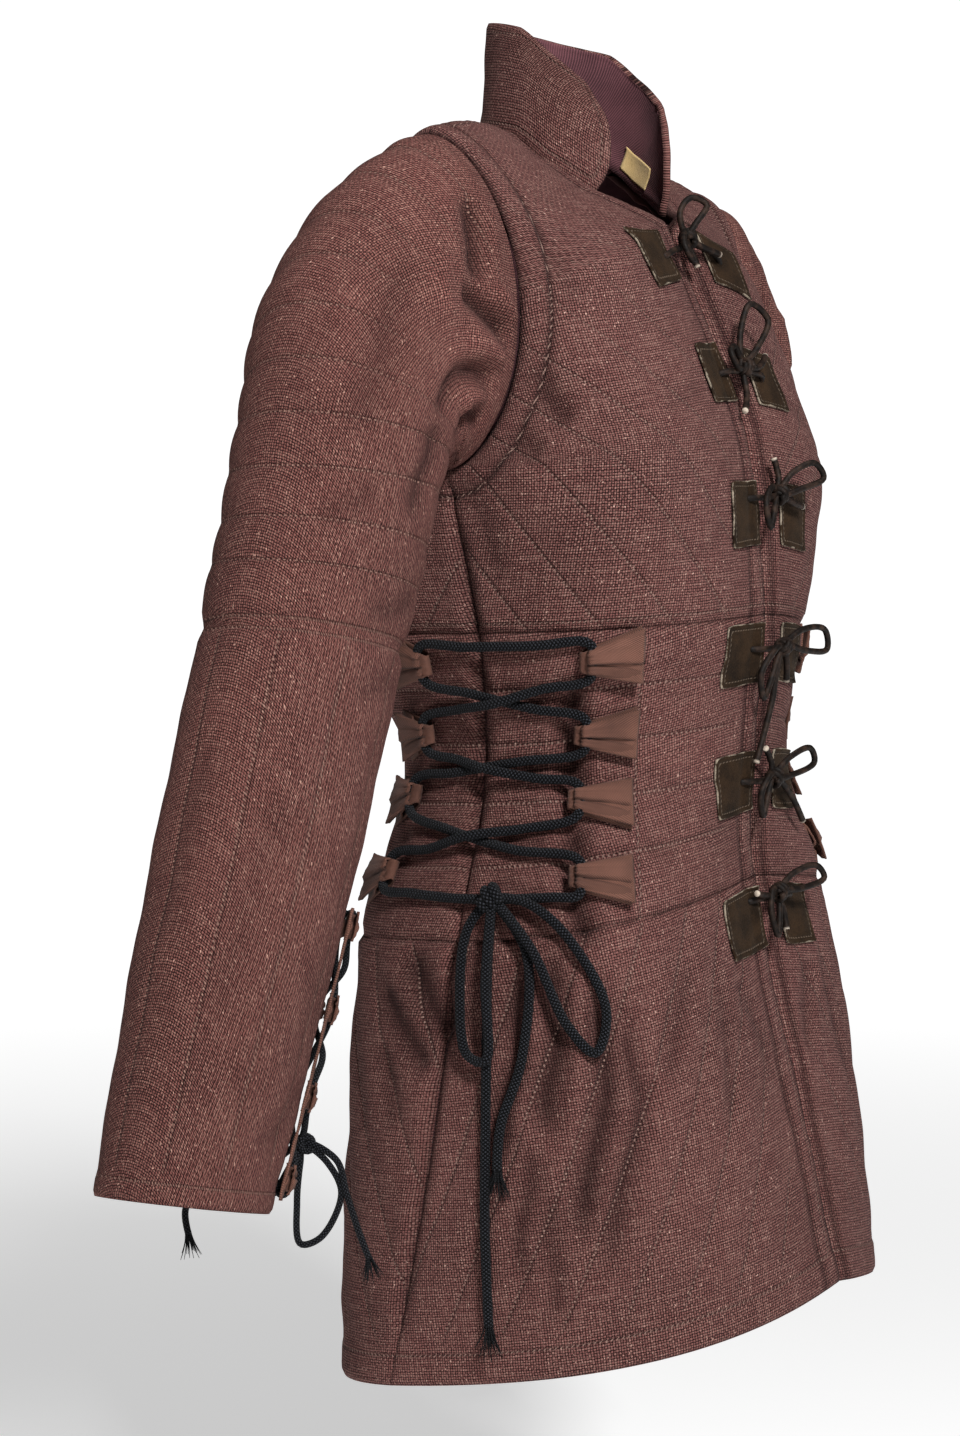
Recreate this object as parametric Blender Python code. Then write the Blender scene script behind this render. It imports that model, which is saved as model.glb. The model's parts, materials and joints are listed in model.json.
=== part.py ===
"""A quilted gambeson, worn and hollow, with a laced waist and laced cuffs.

Metres, +Z up. The coat faces -Y and the wearer's left is +X. The origin is where the
shoulders carry it: on the centre plane, level with the shoulder tips. Every panel is a
wall between an outer surface, raised between the quilting lines, and a plain inside.
"""

import math
from collections import namedtuple
from functools import lru_cache

import bmesh
import bpy
import numpy as np

WALL = 0.006  # canvas, padding and lining, under the quilting lines
PUFF = 0.0028  # how far a quilted channel stands above its lines
GAP = 0.0003  # between pieces that meet
OVERLAP = 0.022  # the left front runs this far under the right one

# ---- The coat's surface: each row runs from the side to the centre of the coat

Section = namedtuple("Section", "name edge_y edge_z corner_x corner_y lift fullness")
Side = namedtuple("Side", "x y z")  # the side seam
SIDE = [
    Side(0.190, 0.050, -0.755),
    Side(0.184, 0.028, -0.617),
    Side(0.164, 0.018, -0.484),
    Side(0.127, 0.022, -0.385),
    Side(0.142, 0.018, -0.299),
    Side(0.160, 0.028, -0.197),
]
FRONT = [
    Section("hem", -0.163, -0.704, 0.198, -0.160, 0, 1.00),
    Section("skirt", -0.134, -0.590, 0.202, -0.148, 0, 1.00),
    Section("skirt seam", -0.102, -0.453, 0.178, -0.124, 0, 1.05),
    Section("waist", -0.103, -0.370, 0.134, -0.106, 0, 0.85),
    Section("chest seam", -0.108, -0.289, 0.148, -0.116, 0, 0.95),
    Section("armpit", -0.098, -0.193, 0.173, -0.135, 0, 1.00),
    Section("chest", -0.083, -0.143, 0.150, -0.114, 0, 1.00),
    Section("neck front", -0.037, -0.0435, 0.106, -0.088, 0, 0.90),
    Section("neck side", None, None, 0.100, -0.026, 0.006, 0.80),
    Section("shoulder", None, None, 0.120, 0.032, 0.020, 0.80),
]
BACK = [
    Section("hem", 0.140, -0.774, 0.182, 0.142, 0, 0.90),
    Section("skirt", 0.142, -0.638, 0.180, 0.148, 0, 0.90),
    Section("skirt seam", 0.141, -0.497, 0.166, 0.146, 0, 0.90),
    Section("waist", 0.120, -0.393, 0.129, 0.126, 0, 0.80),
    Section("chest seam", 0.152, -0.305, 0.146, 0.160, 0, 0.85),
    Section("armpit", 0.150, -0.200, 0.164, 0.160, 0, 0.90),
    Section("shoulder blade", 0.143, -0.130, 0.150, 0.152, 0, 0.95),
    Section("yoke", 0.125, -0.055, None, None, None, None),
    Section("neck back", 0.087, 0.016, None, None, None, None),
]
HEM, SKIRT_SEAM, CHEST_SEAM, ARMPIT, SHOULDER = 0, 2, 4, 5, 9
NECK_FRONT, NECK_BACK = 7, 8  # the rows whose centre ends are on the neck seam
BLADES = 6  # above this row the back spreads from the shoulder seams to the neck
SHOULDER_TURN = 100  # where the shoulder seam meets the neck, degrees from the front
ARMHOLE_TURNS = (0, 58, 93, 130, 180)  # degrees from the armpit, rows 5 to 9

NECK_HALF_WIDTH, NECK_HALF_DEPTH, NECK_MIDDLE_Y = 0.065, 0.062, 0.025
NECK_LEVELS = ((0, -0.0435), (50, -0.028), (80, -0.008), (100, 0.008), (140, 0.015), (180, 0.016))
ARMHOLE_MIDDLE = (0.028, -0.098)  # y, z
ARMHOLE_HALF_DEPTH, ARMHOLE_HALF_HEIGHT = 0.047, 0.099
ARMHOLE_X, ARMHOLE_X_LOW, ARMHOLE_X_TOP = 0.147, 0.013, 0.033


def glide(values, at):
    """A smooth curve through values that stand at 0, 1, 2 ..., read at one place."""
    values = np.asarray(values, float)
    slopes = np.gradient(values, axis=0)
    first = int(min(max(math.floor(at), 0), len(values) - 2))
    t = at - first
    return (
        (2 * t**3 - 3 * t**2 + 1) * values[first]
        + (t**3 - 2 * t**2 + t) * slopes[first]
        + (-2 * t**3 + 3 * t**2) * values[first + 1]
        + (t**3 - t**2) * slopes[first + 1]
    )


def neck_level(turn):
    turns, levels = zip(*NECK_LEVELS)
    place = np.interp(abs(turn), turns, range(len(turns)))
    return float(glide(levels, place))


def neck(turn):
    """A point of the neck seam, turn degrees from the front towards the left."""
    angle = math.radians(turn)
    return np.array(
        [
            NECK_HALF_WIDTH * math.sin(angle),
            NECK_MIDDLE_Y - NECK_HALF_DEPTH * math.cos(angle),
            neck_level(turn),
        ]
    )


def armhole(turn):
    """A point of the left armhole, turn degrees from the armpit up round the front."""
    angle = math.radians(turn)
    low, top = (1 + math.cos(angle)) / 2, (1 - math.cos(angle)) / 2
    return np.array(
        [
            ARMHOLE_X + ARMHOLE_X_LOW * low**3 + ARMHOLE_X_TOP * top**3,
            ARMHOLE_MIDDLE[0] - ARMHOLE_HALF_DEPTH * math.sin(angle),
            ARMHOLE_MIDDLE[1] - ARMHOLE_HALF_HEIGHT * math.cos(angle),
        ]
    )


def side_end(half, row):
    """Where a row starts: on the side seam, or above the armpit on the armhole."""
    if row <= ARMPIT:
        return glide(SIDE, row)
    turn = glide(ARMHOLE_TURNS, row - ARMPIT)
    return armhole(turn if half == "front" else -turn)


def centre_end(half, row):
    """Where a row ends: on the centre line, or above its top on the neck seam."""
    if half == "front" and row > NECK_FRONT:
        return neck((row - NECK_FRONT) / (SHOULDER - NECK_FRONT) * SHOULDER_TURN)
    sections = FRONT[: NECK_FRONT + 1] if half == "front" else BACK
    return glide([(0, s.edge_y, s.edge_z) for s in sections], row)


def back_top(along):
    """The back's top edge: the shoulder seam to its middle, then round the neck."""
    if along <= 0.5:
        return coat("front", SHOULDER, 2 * along)
    return neck(SHOULDER_TURN + (along - 0.5) * 2 * (180 - SHOULDER_TURN))


@lru_cache(maxsize=None)
def coat_row(half, row, steps=64):
    """The points of one row and how far along it each lies, from 0 to 1."""
    if half == "back" and row > BLADES:
        return upper_back_row(row, steps)
    sections = FRONT if half == "front" else BACK[: BLADES + 1]
    start, end = side_end(half, row), centre_end(half, row)
    corner_x, corner_y, lift, fullness = glide(
        [(s.corner_x, s.corner_y, s.lift, s.fullness) for s in sections], row
    )
    corner = np.array([corner_x, corner_y, (start[2] + end[2]) / 2 + lift])
    w = np.linspace(0, 1, steps + 1)[:, None]
    weights = (1 - w) ** 2, 2 * fullness * w * (1 - w), w**2
    points = (weights[0] * start + weights[1] * corner + weights[2] * end) / sum(weights)
    lengths = np.concatenate([[0], np.linalg.norm(np.diff(points, axis=0), axis=1).cumsum()])
    return points, lengths / lengths[-1]


def upper_back_row(row, steps):
    """A row of the patch between the blades' row, the armhole, the top and the centre."""
    up = (row - BLADES) / (SHOULDER - BLADES)
    alongs = np.linspace(0, 1, steps + 1)
    low = np.array([coat("back", BLADES, along) for along in alongs])
    high = np.array([back_top(along) for along in alongs])
    start = side_end("back", row)
    end = centre_end("back", BLADES + up * (NECK_BACK - BLADES))
    w = alongs[:, None]
    rise = (1 - up) * low + up * high
    return rise + (1 - w) * (start - rise[0]) + w * (end - rise[-1]), alongs


def coat(half, row, along):
    """A point of the left half of the coat: along runs from the side, 0, to the centre, 1."""
    points, lengths = coat_row(half, row)
    return np.array([np.interp(along, lengths, points[:, k]) for k in range(3)])


def unit(vector):
    return vector / np.linalg.norm(vector)


def from_neck(point):
    """Straight out from the middle of the neck."""
    return unit((point - [0, NECK_MIDDLE_Y, 0]) * [1, 1, 0])


def coat_slope(half, row, along):
    step = 0.04
    low, high = max(row - step, HEM), min(row + step, SHOULDER)
    left, right = max(along - step, 0), min(along + step, 1)
    up = coat(half, high, along) - coat(half, low, along)
    across = coat(half, row, right) - coat(half, row, left)
    outward = np.cross(across, up) if half == "back" else np.cross(up, across)
    return unit(outward)


def coat_normal(half, row, along):
    """The outward direction, shared by the pieces that meet at a seam."""
    outward = coat_slope(half, row, along)
    front = half == "front"
    other = "back" if front else "front"
    on_shoulder = row >= SHOULDER and (front or along <= 0.5)
    if on_shoulder:
        outward = outward + coat_slope(other, row, along / 2 if front else along * 2)
    elif along <= 0 and row <= ARMPIT:
        outward = outward + coat_slope(other, row, 0)
    if along <= 0 and row >= ARMPIT:
        turn = glide(ARMHOLE_TURNS, row - ARMPIT)
        outward = outward + sleeve_slope(0, turn if front else -turn)
    if (front and along >= 1 and row >= 8) or (not front and along >= 0.5 and row >= SHOULDER):
        outward = outward + from_neck(coat(half, row, along))
    if not front and along >= 1:
        outward[0] = 0
    return unit(outward)


def mirrored(vector, side):
    return vector * np.array([side, 1, 1])


def eased(t):
    t = min(max(t, 0), 1)
    return t * t * (3 - 2 * t)


# ---- The fronts and backs as places on that surface, each with its outward direction

SINK_FROM, SINK_TO = 0.020, 0.004  # the left front drops under the right one between these
SINK = WALL + 0.0040


def front_place(side, row, along):
    """On the right front (side -1) or the left front (side 1)."""
    point, outward = coat("front", row, along), coat_normal("front", row, along)
    if side > 0:
        sink = eased((SINK_FROM - point[0]) / (SINK_FROM - SINK_TO))
        point = point - outward * sink * SINK
    return mirrored(point, side), mirrored(outward, side)


def front_place_at_x(side, row, x):
    """On a front at this distance from the centre plane, below 0 past the centre."""
    points, lengths = coat_row("front", row)
    along = float(np.interp(-abs(x), -points[:, 0], lengths))
    if x >= 0:
        return front_place(side, row, along)
    point, outward = coat("front", row, along), coat_normal("front", row, along)
    return mirrored(point - outward * SINK, -side), mirrored(outward, -side)


def back_place(row, across):
    """On the back, across from the left side seam, 0, by the centre, 1, to the right, 2."""
    side, along = (1, across) if across <= 1 else (-1, 2 - across)
    return mirrored(coat("back", row, along), side), mirrored(coat_normal("back", row, along), side)


def side_place(side, row, turn):
    """Round the side seam: turn is along the front above 0 and along the back below 0."""
    if turn >= 0:
        return front_place(side, row, turn)
    return back_place(row, -turn if side > 0 else 2 + turn)


# ---- Building a wall from a grid of places


def material(name, colour, roughness):
    made = bpy.data.materials.get(name) or bpy.data.materials.new(name)
    made.use_nodes = True
    shader = made.node_tree.nodes["Principled BSDF"]
    shader.inputs["Base Color"].default_value = (*colour, 1)
    shader.inputs["Roughness"].default_value = roughness
    return made


def canvas():
    return material("brown canvas", (0.135, 0.062, 0.056), 0.9)


def lining_cotton():
    return material("pinkish cotton", (0.16, 0.085, 0.08), 0.8)


def tape_cotton():
    return material("brown cotton tape", (0.22, 0.105, 0.075), 0.8)


def suede():
    return material("dark suede", (0.032, 0.02, 0.01), 0.85)


def leather():
    return material("leather thong", (0.028, 0.016, 0.012), 0.55)


def braid():
    return material("black braid", (0.012, 0.014, 0.019), 0.7)


def satin():
    return material("cream satin", (0.85, 0.66, 0.30), 0.4)


def add_object(name, mesh, finish):
    mesh.materials.append(finish)
    made = bpy.data.objects.new(name, mesh)
    bpy.context.scene.collection.objects.link(made)
    return made


def add_faces(name, points, faces, finish):
    mesh = bpy.data.meshes.new(name)
    mesh.from_pydata([tuple(p) for p in points], [], faces)
    shape = bmesh.new()
    shape.from_mesh(mesh)
    bmesh.ops.recalc_face_normals(shape, faces=shape.faces)
    if shape.calc_volume(signed=True) < 0:
        bmesh.ops.reverse_faces(shape, faces=shape.faces)
    shape.to_mesh(mesh)
    shape.free()
    return add_object(name, mesh, finish)


def drawn_in(grid, distance):
    """The grid with each of its four edges moved in over its own surface."""
    moved = grid.copy()
    for line, towards in ((0, 1), (-1, -2)):
        moved[line] += [distance * unit(b - a) for a, b in zip(grid[line], grid[towards])]
        moved[:, line] += [distance * unit(b - a) for a, b in zip(grid[:, line], grid[:, towards])]
    return moved


def wall(
    name, rows, columns, place, relief, finish, lift=0, thickness=WALL, rising=None, every=(2, 2),
    inset=GAP / 2,
):
    """A closed wall over a grid of rows and columns.

    place(row, column) gives a point and its outward direction. relief(i, j) raises the
    outer points. every says how the inside counts: (2, 2) is every second row and column,
    which the numbers of steps have to allow.
    rising(j) sets which way the quads are split, so that quilting lines lie along edges.
    """
    places = [[place(row, column) for column in columns] for row in rows]
    points = np.array([[point for point, _ in line] for line in places])
    outwards = np.array([[outward for _, outward in line] for line in places])
    heights = np.array([[relief(i, j) for j in range(len(columns))] for i in range(len(rows))])
    points = drawn_in(points, inset) + outwards * lift
    outer = points + outwards * (heights[..., None] * PUFF)
    inner = (points - outwards * thickness)[:: every[0], :: every[1]]
    return closed_wall(name, outer, inner, finish, rising)


def closed_wall(name, outer, inner, finish, rising):
    points = np.concatenate([outer.reshape(-1, 3), inner.reshape(-1, 3)])
    high, wide = outer.shape[0], outer.shape[1]
    low, narrow = inner.shape[0], inner.shape[1]
    first_inner = high * wide

    def out(i, j):
        return i * wide + j

    def within(i, j):
        return first_inner + i * narrow + j

    faces = []
    for i in range(high - 1):
        for j in range(wide - 1):
            a, b, c, d = out(i, j), out(i, j + 1), out(i + 1, j + 1), out(i + 1, j)
            faces += [(a, b, d), (b, c, d)] if rising and rising(j) else [(a, b, c), (a, c, d)]
    for i in range(low - 1):
        for j in range(narrow - 1):
            a, b, c, d = within(i, j), within(i, j + 1), within(i + 1, j + 1), within(i + 1, j)
            faces += [(a, d, b), (b, d, c)]
    borders = [
        ([out(0, j) for j in range(wide)], [within(0, j) for j in range(narrow)]),
        ([out(i, wide - 1) for i in range(high)], [within(i, narrow - 1) for i in range(low)]),
        (
            [out(high - 1, j) for j in reversed(range(wide))],
            [within(low - 1, j) for j in reversed(range(narrow))],
        ),
        (
            [out(i, 0) for i in reversed(range(high))],
            [within(i, 0) for i in reversed(range(low))],
        ),
    ]
    for fine, coarse in borders:
        for k in range(len(coarse) - 1):
            if len(fine) == len(coarse):
                a, b, c, d = fine[k], coarse[k], coarse[k + 1], fine[k + 1]
                slant = np.linalg.norm(points[a] - points[c]) < np.linalg.norm(points[b] - points[d])
                faces += [(a, b, c), (a, c, d)] if slant else [(a, b, d), (b, c, d)]
                continue
            ratio = (len(fine) - 1) // (len(coarse) - 1)
            line = fine[ratio * k : ratio * k + ratio + 1]
            half = ratio // 2
            faces += [(line[m], coarse[k], line[m + 1]) for m in range(half)]
            faces.append((line[half], coarse[k], coarse[k + 1]))
            faces += [(line[m], coarse[k + 1], line[m + 1]) for m in range(half, ratio)]
    return add_faces(name, points, faces, finish)


def steps(start, end, count):
    return [start + (end - start) * k / count for k in range(count + 1)]


# ---- The nine panels

SKIRT_ROWS = [0, 0.14] + steps(0.14, SKIRT_SEAM, 7)[1:]
WAIST_ROWS = steps(SKIRT_SEAM, CHEST_SEAM, 10)
CHEST_ROWS = steps(CHEST_SEAM, ARMPIT, 4) + steps(ARMPIT, SHOULDER, 8)[1:]
FRONT_STEPS = 10
PLAIN_FROM = 7  # the columns from here to the front edge are not quilted
UNDER_EDGE = {6: -OVERLAP, 6.5: -0.004, 7: 0.006}  # x of the left front's edge by row


def diagonal(first, last_row, last_column, height):
    """Channels on the slant: their lines run through every second grid corner."""

    def relief(i, j):
        if i in (0, last_row) or j == 0 or j >= last_column or i < first:
            return 0
        return height * ((i + j) % 2)

    return relief


def level(last_row, last_column):
    def relief(i, j):
        return 0 if j == 0 or j >= last_column or i == last_row else i % 2

    return relief


def under_edge(row):
    rows = sorted(UNDER_EDGE)
    return float(np.interp(row, rows, [UNDER_EDGE[r] for r in rows]))


def left_front_place(row, column):
    """Columns as on the right front, but the last three slip under its edge."""
    if row > NECK_FRONT:
        return front_place(1, row, (min(column, 8) + max(column - 8, 0) / 2) / FRONT_STEPS)
    if column < FRONT_STEPS:
        return front_place(1, row, column / FRONT_STEPS)
    last = front_place(1, row, 1 - 1 / FRONT_STEPS)[0][0]
    share = {FRONT_STEPS: 0.22, FRONT_STEPS + 1: 0.42, FRONT_STEPS + 2: 1.0}[column]
    return front_place_at_x(1, row, last + (under_edge(row) - last) * share)


def build_panels():
    kinds = (
        # name, rows, first raised row, whether the lines fall towards the centre, every
        ("skirt", SKIRT_ROWS, 2, False, (2, 2)),
        ("waist", WAIST_ROWS, 0, False, (2, 2)),
        ("chest", CHEST_ROWS, 0, True, (1, 1)),
    )
    for name, rows, first, to_centre, every in kinds:
        last = len(rows) - 1
        if name == "waist":
            front_relief = level(last, PLAIN_FROM)
            back_relief = level(last, 2 * FRONT_STEPS)
        else:
            front_relief = diagonal(first, last, PLAIN_FROM, 0.6)
            back_relief = diagonal(first, last, 2 * FRONT_STEPS, 0.6)
        wall(
            f"{name}_front_right",
            rows,
            steps(0, 1, FRONT_STEPS),
            lambda row, along: front_place(-1, row, along),
            front_relief,
            canvas(),
            rising=lambda j, to_centre=to_centre: to_centre,
            every=every,
        )
        wall(
            f"{name}_front_left",
            rows,
            range(FRONT_STEPS + 3),
            left_front_place,
            front_relief,
            canvas(),
            rising=lambda j, to_centre=to_centre: to_centre,
            every=every,
            inset=GAP,
        )
        wall(
            f"{name}_back",
            rows,
            steps(0, 2, 2 * FRONT_STEPS),
            back_place,
            back_relief,
            canvas(),
            rising=lambda j, to_centre=to_centre: to_centre == (j < FRONT_STEPS),
            every=every,
            inset=GAP if name == "chest" else GAP / 2,
        )


# ---- The sleeves: rings from the armhole to the cuff

Ring = namedtuple("Ring", "name outer_x outer_z inner_x inner_z middle_y half_depth")
SLEEVE = [
    Ring("armhole", 0.180, 0.001, 0.160, -0.197, 0.028, 0.047),
    Ring("cap", 0.208, -0.009, 0.165, -0.200, 0.032, 0.054),
    Ring("cap side", 0.247, -0.043, 0.170, -0.2015, 0.042, 0.061),
    Ring("cap foot", 0.281, -0.098, 0.1745, -0.2015, 0.048, 0.063),
    Ring("armpit", 0.293, -0.1735, 0.179, -0.2005, 0.054, 0.063),
    Ring("upper arm", 0.3045, -0.230, 0.1935, -0.256, 0.060, 0.062),
    Ring("elbow", 0.3165, -0.285, 0.2075, -0.311, 0.066, 0.0605),
    Ring("forearm", 0.3505, -0.432, 0.2435, -0.458, 0.0805, 0.059),
    Ring("cuff", 0.386, -0.611, 0.289, -0.632, 0.100, 0.0525),
]
ELBOW, CUFF = 6, 8
SLIT_TURN = 40  # degrees from the inner side towards the front
SLIT_TOP = 6.95
SLIT_HALF_GAP = 9.5  # degrees, at the cuff
SLEEVE_STEPS = 16  # two for each of the coat's rows at the armhole
SLEEVE_ROWS = steps(0, ELBOW, 18) + [6.5, 7, 7.33, 7.66, 7.92, CUFF]


def sleeve_point(ring, turn):
    """A point of the left sleeve, turn degrees from its inner side towards the front."""
    outer_x, outer_z, inner_x, inner_z, middle_y, half_depth = glide(
        [tuple(r)[1:] for r in SLEEVE], ring
    )
    angle = math.radians(turn)
    point = np.array(
        [
            (outer_x + inner_x) / 2 + (inner_x - outer_x) / 2 * math.cos(angle),
            middle_y - half_depth * math.sin(angle),
            (outer_z + inner_z) / 2 + (inner_z - outer_z) / 2 * math.cos(angle),
        ]
    )
    hollow = armhole(turn)[0] - (SLEEVE[0].outer_x + SLEEVE[0].inner_x) / 2
    hollow -= (SLEEVE[0].inner_x - SLEEVE[0].outer_x) / 2 * math.cos(angle)
    point[0] += hollow * (1 - eased(ring / 2.5))
    return point


def sleeve_slope(ring, turn):
    low, high = max(ring - 0.05, 0), min(ring + 0.05, CUFF)
    down = sleeve_point(high, turn) - sleeve_point(low, turn)
    round_it = sleeve_point(ring, turn + 2) - sleeve_point(ring, turn - 2)
    return unit(np.cross(down, round_it))


def armhole_place(rows):
    """Rows up the front from the armpit, 0 to 4, and on down the back, to 8."""
    rows = rows % 8
    half, row = ("front", rows) if rows <= 4 else ("back", 8 - rows)
    return coat(half, ARMPIT + row, 0), coat_normal(half, ARMPIT + row, 0)


def armhole_turn(rows):
    """The same place as degrees from the armpit."""
    laps, rest = divmod(rows, 8)
    if rest > 4:
        return 360 * (laps + 1) - glide(ARMHOLE_TURNS, 8 - rest)
    return 360 * laps + glide(ARMHOLE_TURNS, rest)


def sleeve_place(side, ring, column):
    """Columns run from the slit's line up the front and round to it, 0 to SLEEVE_STEPS."""
    gap = slit_gap(ring)
    turn = SLIT_TURN + gap + (360 - 2 * gap) * column / SLEEVE_STEPS
    turn += (armhole_turn(column / 2) - turn) * (1 - eased(ring / 3))
    if ring <= 0:
        point, outward = armhole_place(column / 2)
    else:
        point, outward = sleeve_point(ring, turn), sleeve_slope(ring, turn)
    return mirrored(point, side), mirrored(outward, side)


def slit_gap(ring):
    """Half the angle that the sleeve's two long edges stand apart."""
    sewn = math.degrees(GAP / 2 / 0.06) / 2
    return sewn + SLIT_HALF_GAP * max(ring - SLIT_TOP, 0) / (CUFF - SLIT_TOP)


def build_sleeve(side, name):
    def relief(i, j):
        ring = SLEEVE_ROWS[i]
        if i < 2 or j in (0, SLEEVE_STEPS) or ring in (ELBOW, 7.92):
            return 0
        return i % 2 if ring < ELBOW else (j % 2 if ring < CUFF else 0.5)

    wall(
        name,
        SLEEVE_ROWS,
        range(SLEEVE_STEPS + 1),
        lambda ring, column: sleeve_place(side, ring, column),
        relief,
        canvas(),
        every=(2, 1),
    )


# ---- The collar, the linings and the label

COLLAR_HEIGHT, COLLAR_WALL = 0.068, 0.0045
COLLAR_ENDS = (50, 43, 41, 44, 56)  # degrees from the front, from the seam to the top
COLLAR_DROPS = (0, 0, 0, 0.001, 0.004)  # how far the front corners are rounded down
COLLAR_STEPS = 24
NECK_COLUMNS = [50, 75] + steps(100, 180, 5)  # turns of the panels' corners
COLLAR_COLUMNS = [0, 2] + steps(4, 12, 5)  # the collar's columns over them


def neck_chord(turn):
    """The panels' neck edge, which is straight between their corners."""
    corners = np.array([neck(t) for t in NECK_COLUMNS])
    return np.array([np.interp(turn, NECK_COLUMNS, corners[:, k]) for k in range(3)])


def collar_place(share, column):
    """Share of the height, and columns from the left front end round the back."""
    from_end = min(column, COLLAR_STEPS - column)
    base_turn = np.interp(from_end, COLLAR_COLUMNS, NECK_COLUMNS)
    end = glide(COLLAR_ENDS, share * 4)
    ring = neck(180 - (180 - base_turn) * (180 - end) / (180 - COLLAR_ENDS[0]))
    point = ring - from_neck(ring) * 0.003 * share
    point[1] -= 0.002 * share
    point[2] += share * COLLAR_HEIGHT - glide(COLLAR_DROPS, share * 4) * max(0, 1 - from_end / 2)
    outward = from_neck(point)
    if share <= 0:
        point = neck_chord(base_turn)
        if base_turn >= SHOULDER_TURN:
            outward = coat_normal("back", SHOULDER, 0.5 + (base_turn - SHOULDER_TURN) / 160)
        else:
            outward = coat_normal("front", NECK_FRONT + base_turn / 50, 1)
    side = 1 if column <= COLLAR_STEPS / 2 else -1
    return mirrored(point, side), mirrored(outward, side)


def build_neck():
    wall(
        "collar",
        steps(0, 1, 3),
        range(COLLAR_STEPS + 1),
        collar_place,
        lambda i, j: 0,
        canvas(),
        thickness=COLLAR_WALL,
        every=(3, 1),
    )
    # The linings lie on the inner points of the chest panels.
    for name, rows, columns, place in (
        ("right", CHEST_ROWS[8:], steps(0.5, 1, 5), lambda row, along: front_place(-1, row, along)),
        ("left", CHEST_ROWS[8:], range(5, 13), left_front_place),
        ("back", CHEST_ROWS[10:], steps(0.5, 1.5, 10), back_place),
    ):
        wall(
            f"neck_lining_{name}",
            rows,
            columns,
            place,
            lambda i, j: 0,
            lining_cotton(),
            lift=-(WALL + 2 * GAP),
            thickness=0.001,
            rising=lambda j: True,
            every=(1, 1),
        )
    wall(
        "neck_label",
        steps(0.02, 0.28, 2),
        steps(1.6, 3.3, 4),
        collar_place,
        lambda i, j: 0,
        satin(),
        lift=-(COLLAR_WALL + 0.0012),
        thickness=0.0008,
    )


# ---- Patches, laid on the fronts beside their edges

PATCH_THICKNESS = 0.0014
Patch = namedtuple("Patch", "low high near_x far_x near_lift far_lift lean rise")
# Rows, x of the outer edges, heights over the cloth, and how far the top of the near
# patch leans outwards and rises there.
PATCHES = [
    Patch(6.68, 7.06, -0.070, 0.058, 0.0037, 0.0010, 0.010, 0.24),
    Patch(5.78, 6.27, -0.044, 0.057, 0.0008, 0.0010, 0.006, 0.00),
    Patch(4.44, 4.85, -0.046, 0.057, 0.0010, 0.0010, 0.000, 0.00),
    Patch(3.50, 3.96, -0.050, 0.058, 0.0012, 0.0010, 0.000, 0.00),
    Patch(2.47, 2.97, -0.050, 0.058, 0.0008, 0.0006, 0.000, 0.00),
    Patch(1.66, 1.96, -0.056, 0.060, 0.0006, 0.0006, 0.000, 0.00),
]
NEAR_INNER, FAR_INNER = -0.006, 0.0225  # x of the patches' edges at the opening
TOP_INNER = -0.030  # and of the top one on the right, where the neckline slopes


def build_patches():
    for number, patch in enumerate(PATCHES, 1):
        for side, word, inner, outer, lift in (
            (-1, "right", NEAR_INNER, patch.near_x, patch.near_lift),
            (1, "left", FAR_INNER, patch.far_x, patch.far_lift),
        ):
            first = TOP_INNER if number == 1 and side < 0 else inner

            def place(up, out, side=side, patch=patch, first=abs(first), outer=abs(outer)):
                lean, rise = (patch.lean, patch.rise) if side < 0 else (0, 0)
                row = patch.low + (patch.high - patch.low + rise * out) * up
                return front_place_at_x(side, row, first + (outer - first) * out + lean * up)

            wall(
                f"patch_{word}_{number}",
                [0, 1],
                steps(0, 1, 2),
                place,
                lambda i, j: 0,
                suede(),
                lift=lift + PATCH_THICKNESS,
                thickness=PATCH_THICKNESS,
                every=(1, 1),
            )


# ---- Cords: tubes along smooth paths, fused where they are one knot

LACE_RADIUS, THONG_RADIUS = 0.003, 0.002


def tube(points, radius):
    curve = bpy.data.curves.new("tube", "CURVE")
    curve.dimensions = "3D"
    curve.bevel_depth = radius
    curve.bevel_resolution = 2
    curve.use_fill_caps = True
    spline = curve.splines.new("POLY")
    spline.points.add(len(points) - 1)
    for made, point in zip(spline.points, points):
        made.co = (*point, 1)
    made = bpy.data.objects.new("tube", curve)
    bpy.context.scene.collection.objects.link(made)
    mesh = bpy.data.meshes.new_from_object(
        made.evaluated_get(bpy.context.evaluated_depsgraph_get())
    )
    bpy.data.objects.remove(made)
    shape = bmesh.new()
    shape.from_mesh(mesh)
    bmesh.ops.remove_doubles(shape, verts=shape.verts, dist=1e-5)
    bmesh.ops.recalc_face_normals(shape, faces=shape.faces)
    shape.to_mesh(mesh)
    shape.free()
    return link(mesh)


def lump(centre, size):
    mesh = bpy.data.meshes.new("lump")
    shape = bmesh.new()
    bmesh.ops.create_uvsphere(shape, u_segments=6, v_segments=4, radius=1)
    for vert in shape.verts:
        vert.co = [c + s * v for c, s, v in zip(centre, size, vert.co)]
    shape.to_mesh(mesh)
    shape.free()
    return link(mesh)


def link(mesh):
    made = bpy.data.objects.new("piece", mesh)
    bpy.context.scene.collection.objects.link(made)
    return made


def fused(name, pieces, finish):
    """One solid of overlapping pieces."""
    first = pieces[0]
    for piece in pieces[1:]:
        joint = first.modifiers.new("fuse", "BOOLEAN")
        joint.operation, joint.solver, joint.object = "UNION", "EXACT", piece
        joint.use_self = True
        bpy.context.view_layer.update()
        mesh = bpy.data.meshes.new_from_object(
            first.evaluated_get(bpy.context.evaluated_depsgraph_get())
        )
        first.modifiers.clear()
        first.data = mesh
        bpy.data.objects.remove(piece)
    first.name = name
    first.data.materials.clear()
    first.data.materials.append(finish)


# ---- The side lacing: four tabs on each side of the seam, and a lace through their eyes

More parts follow.
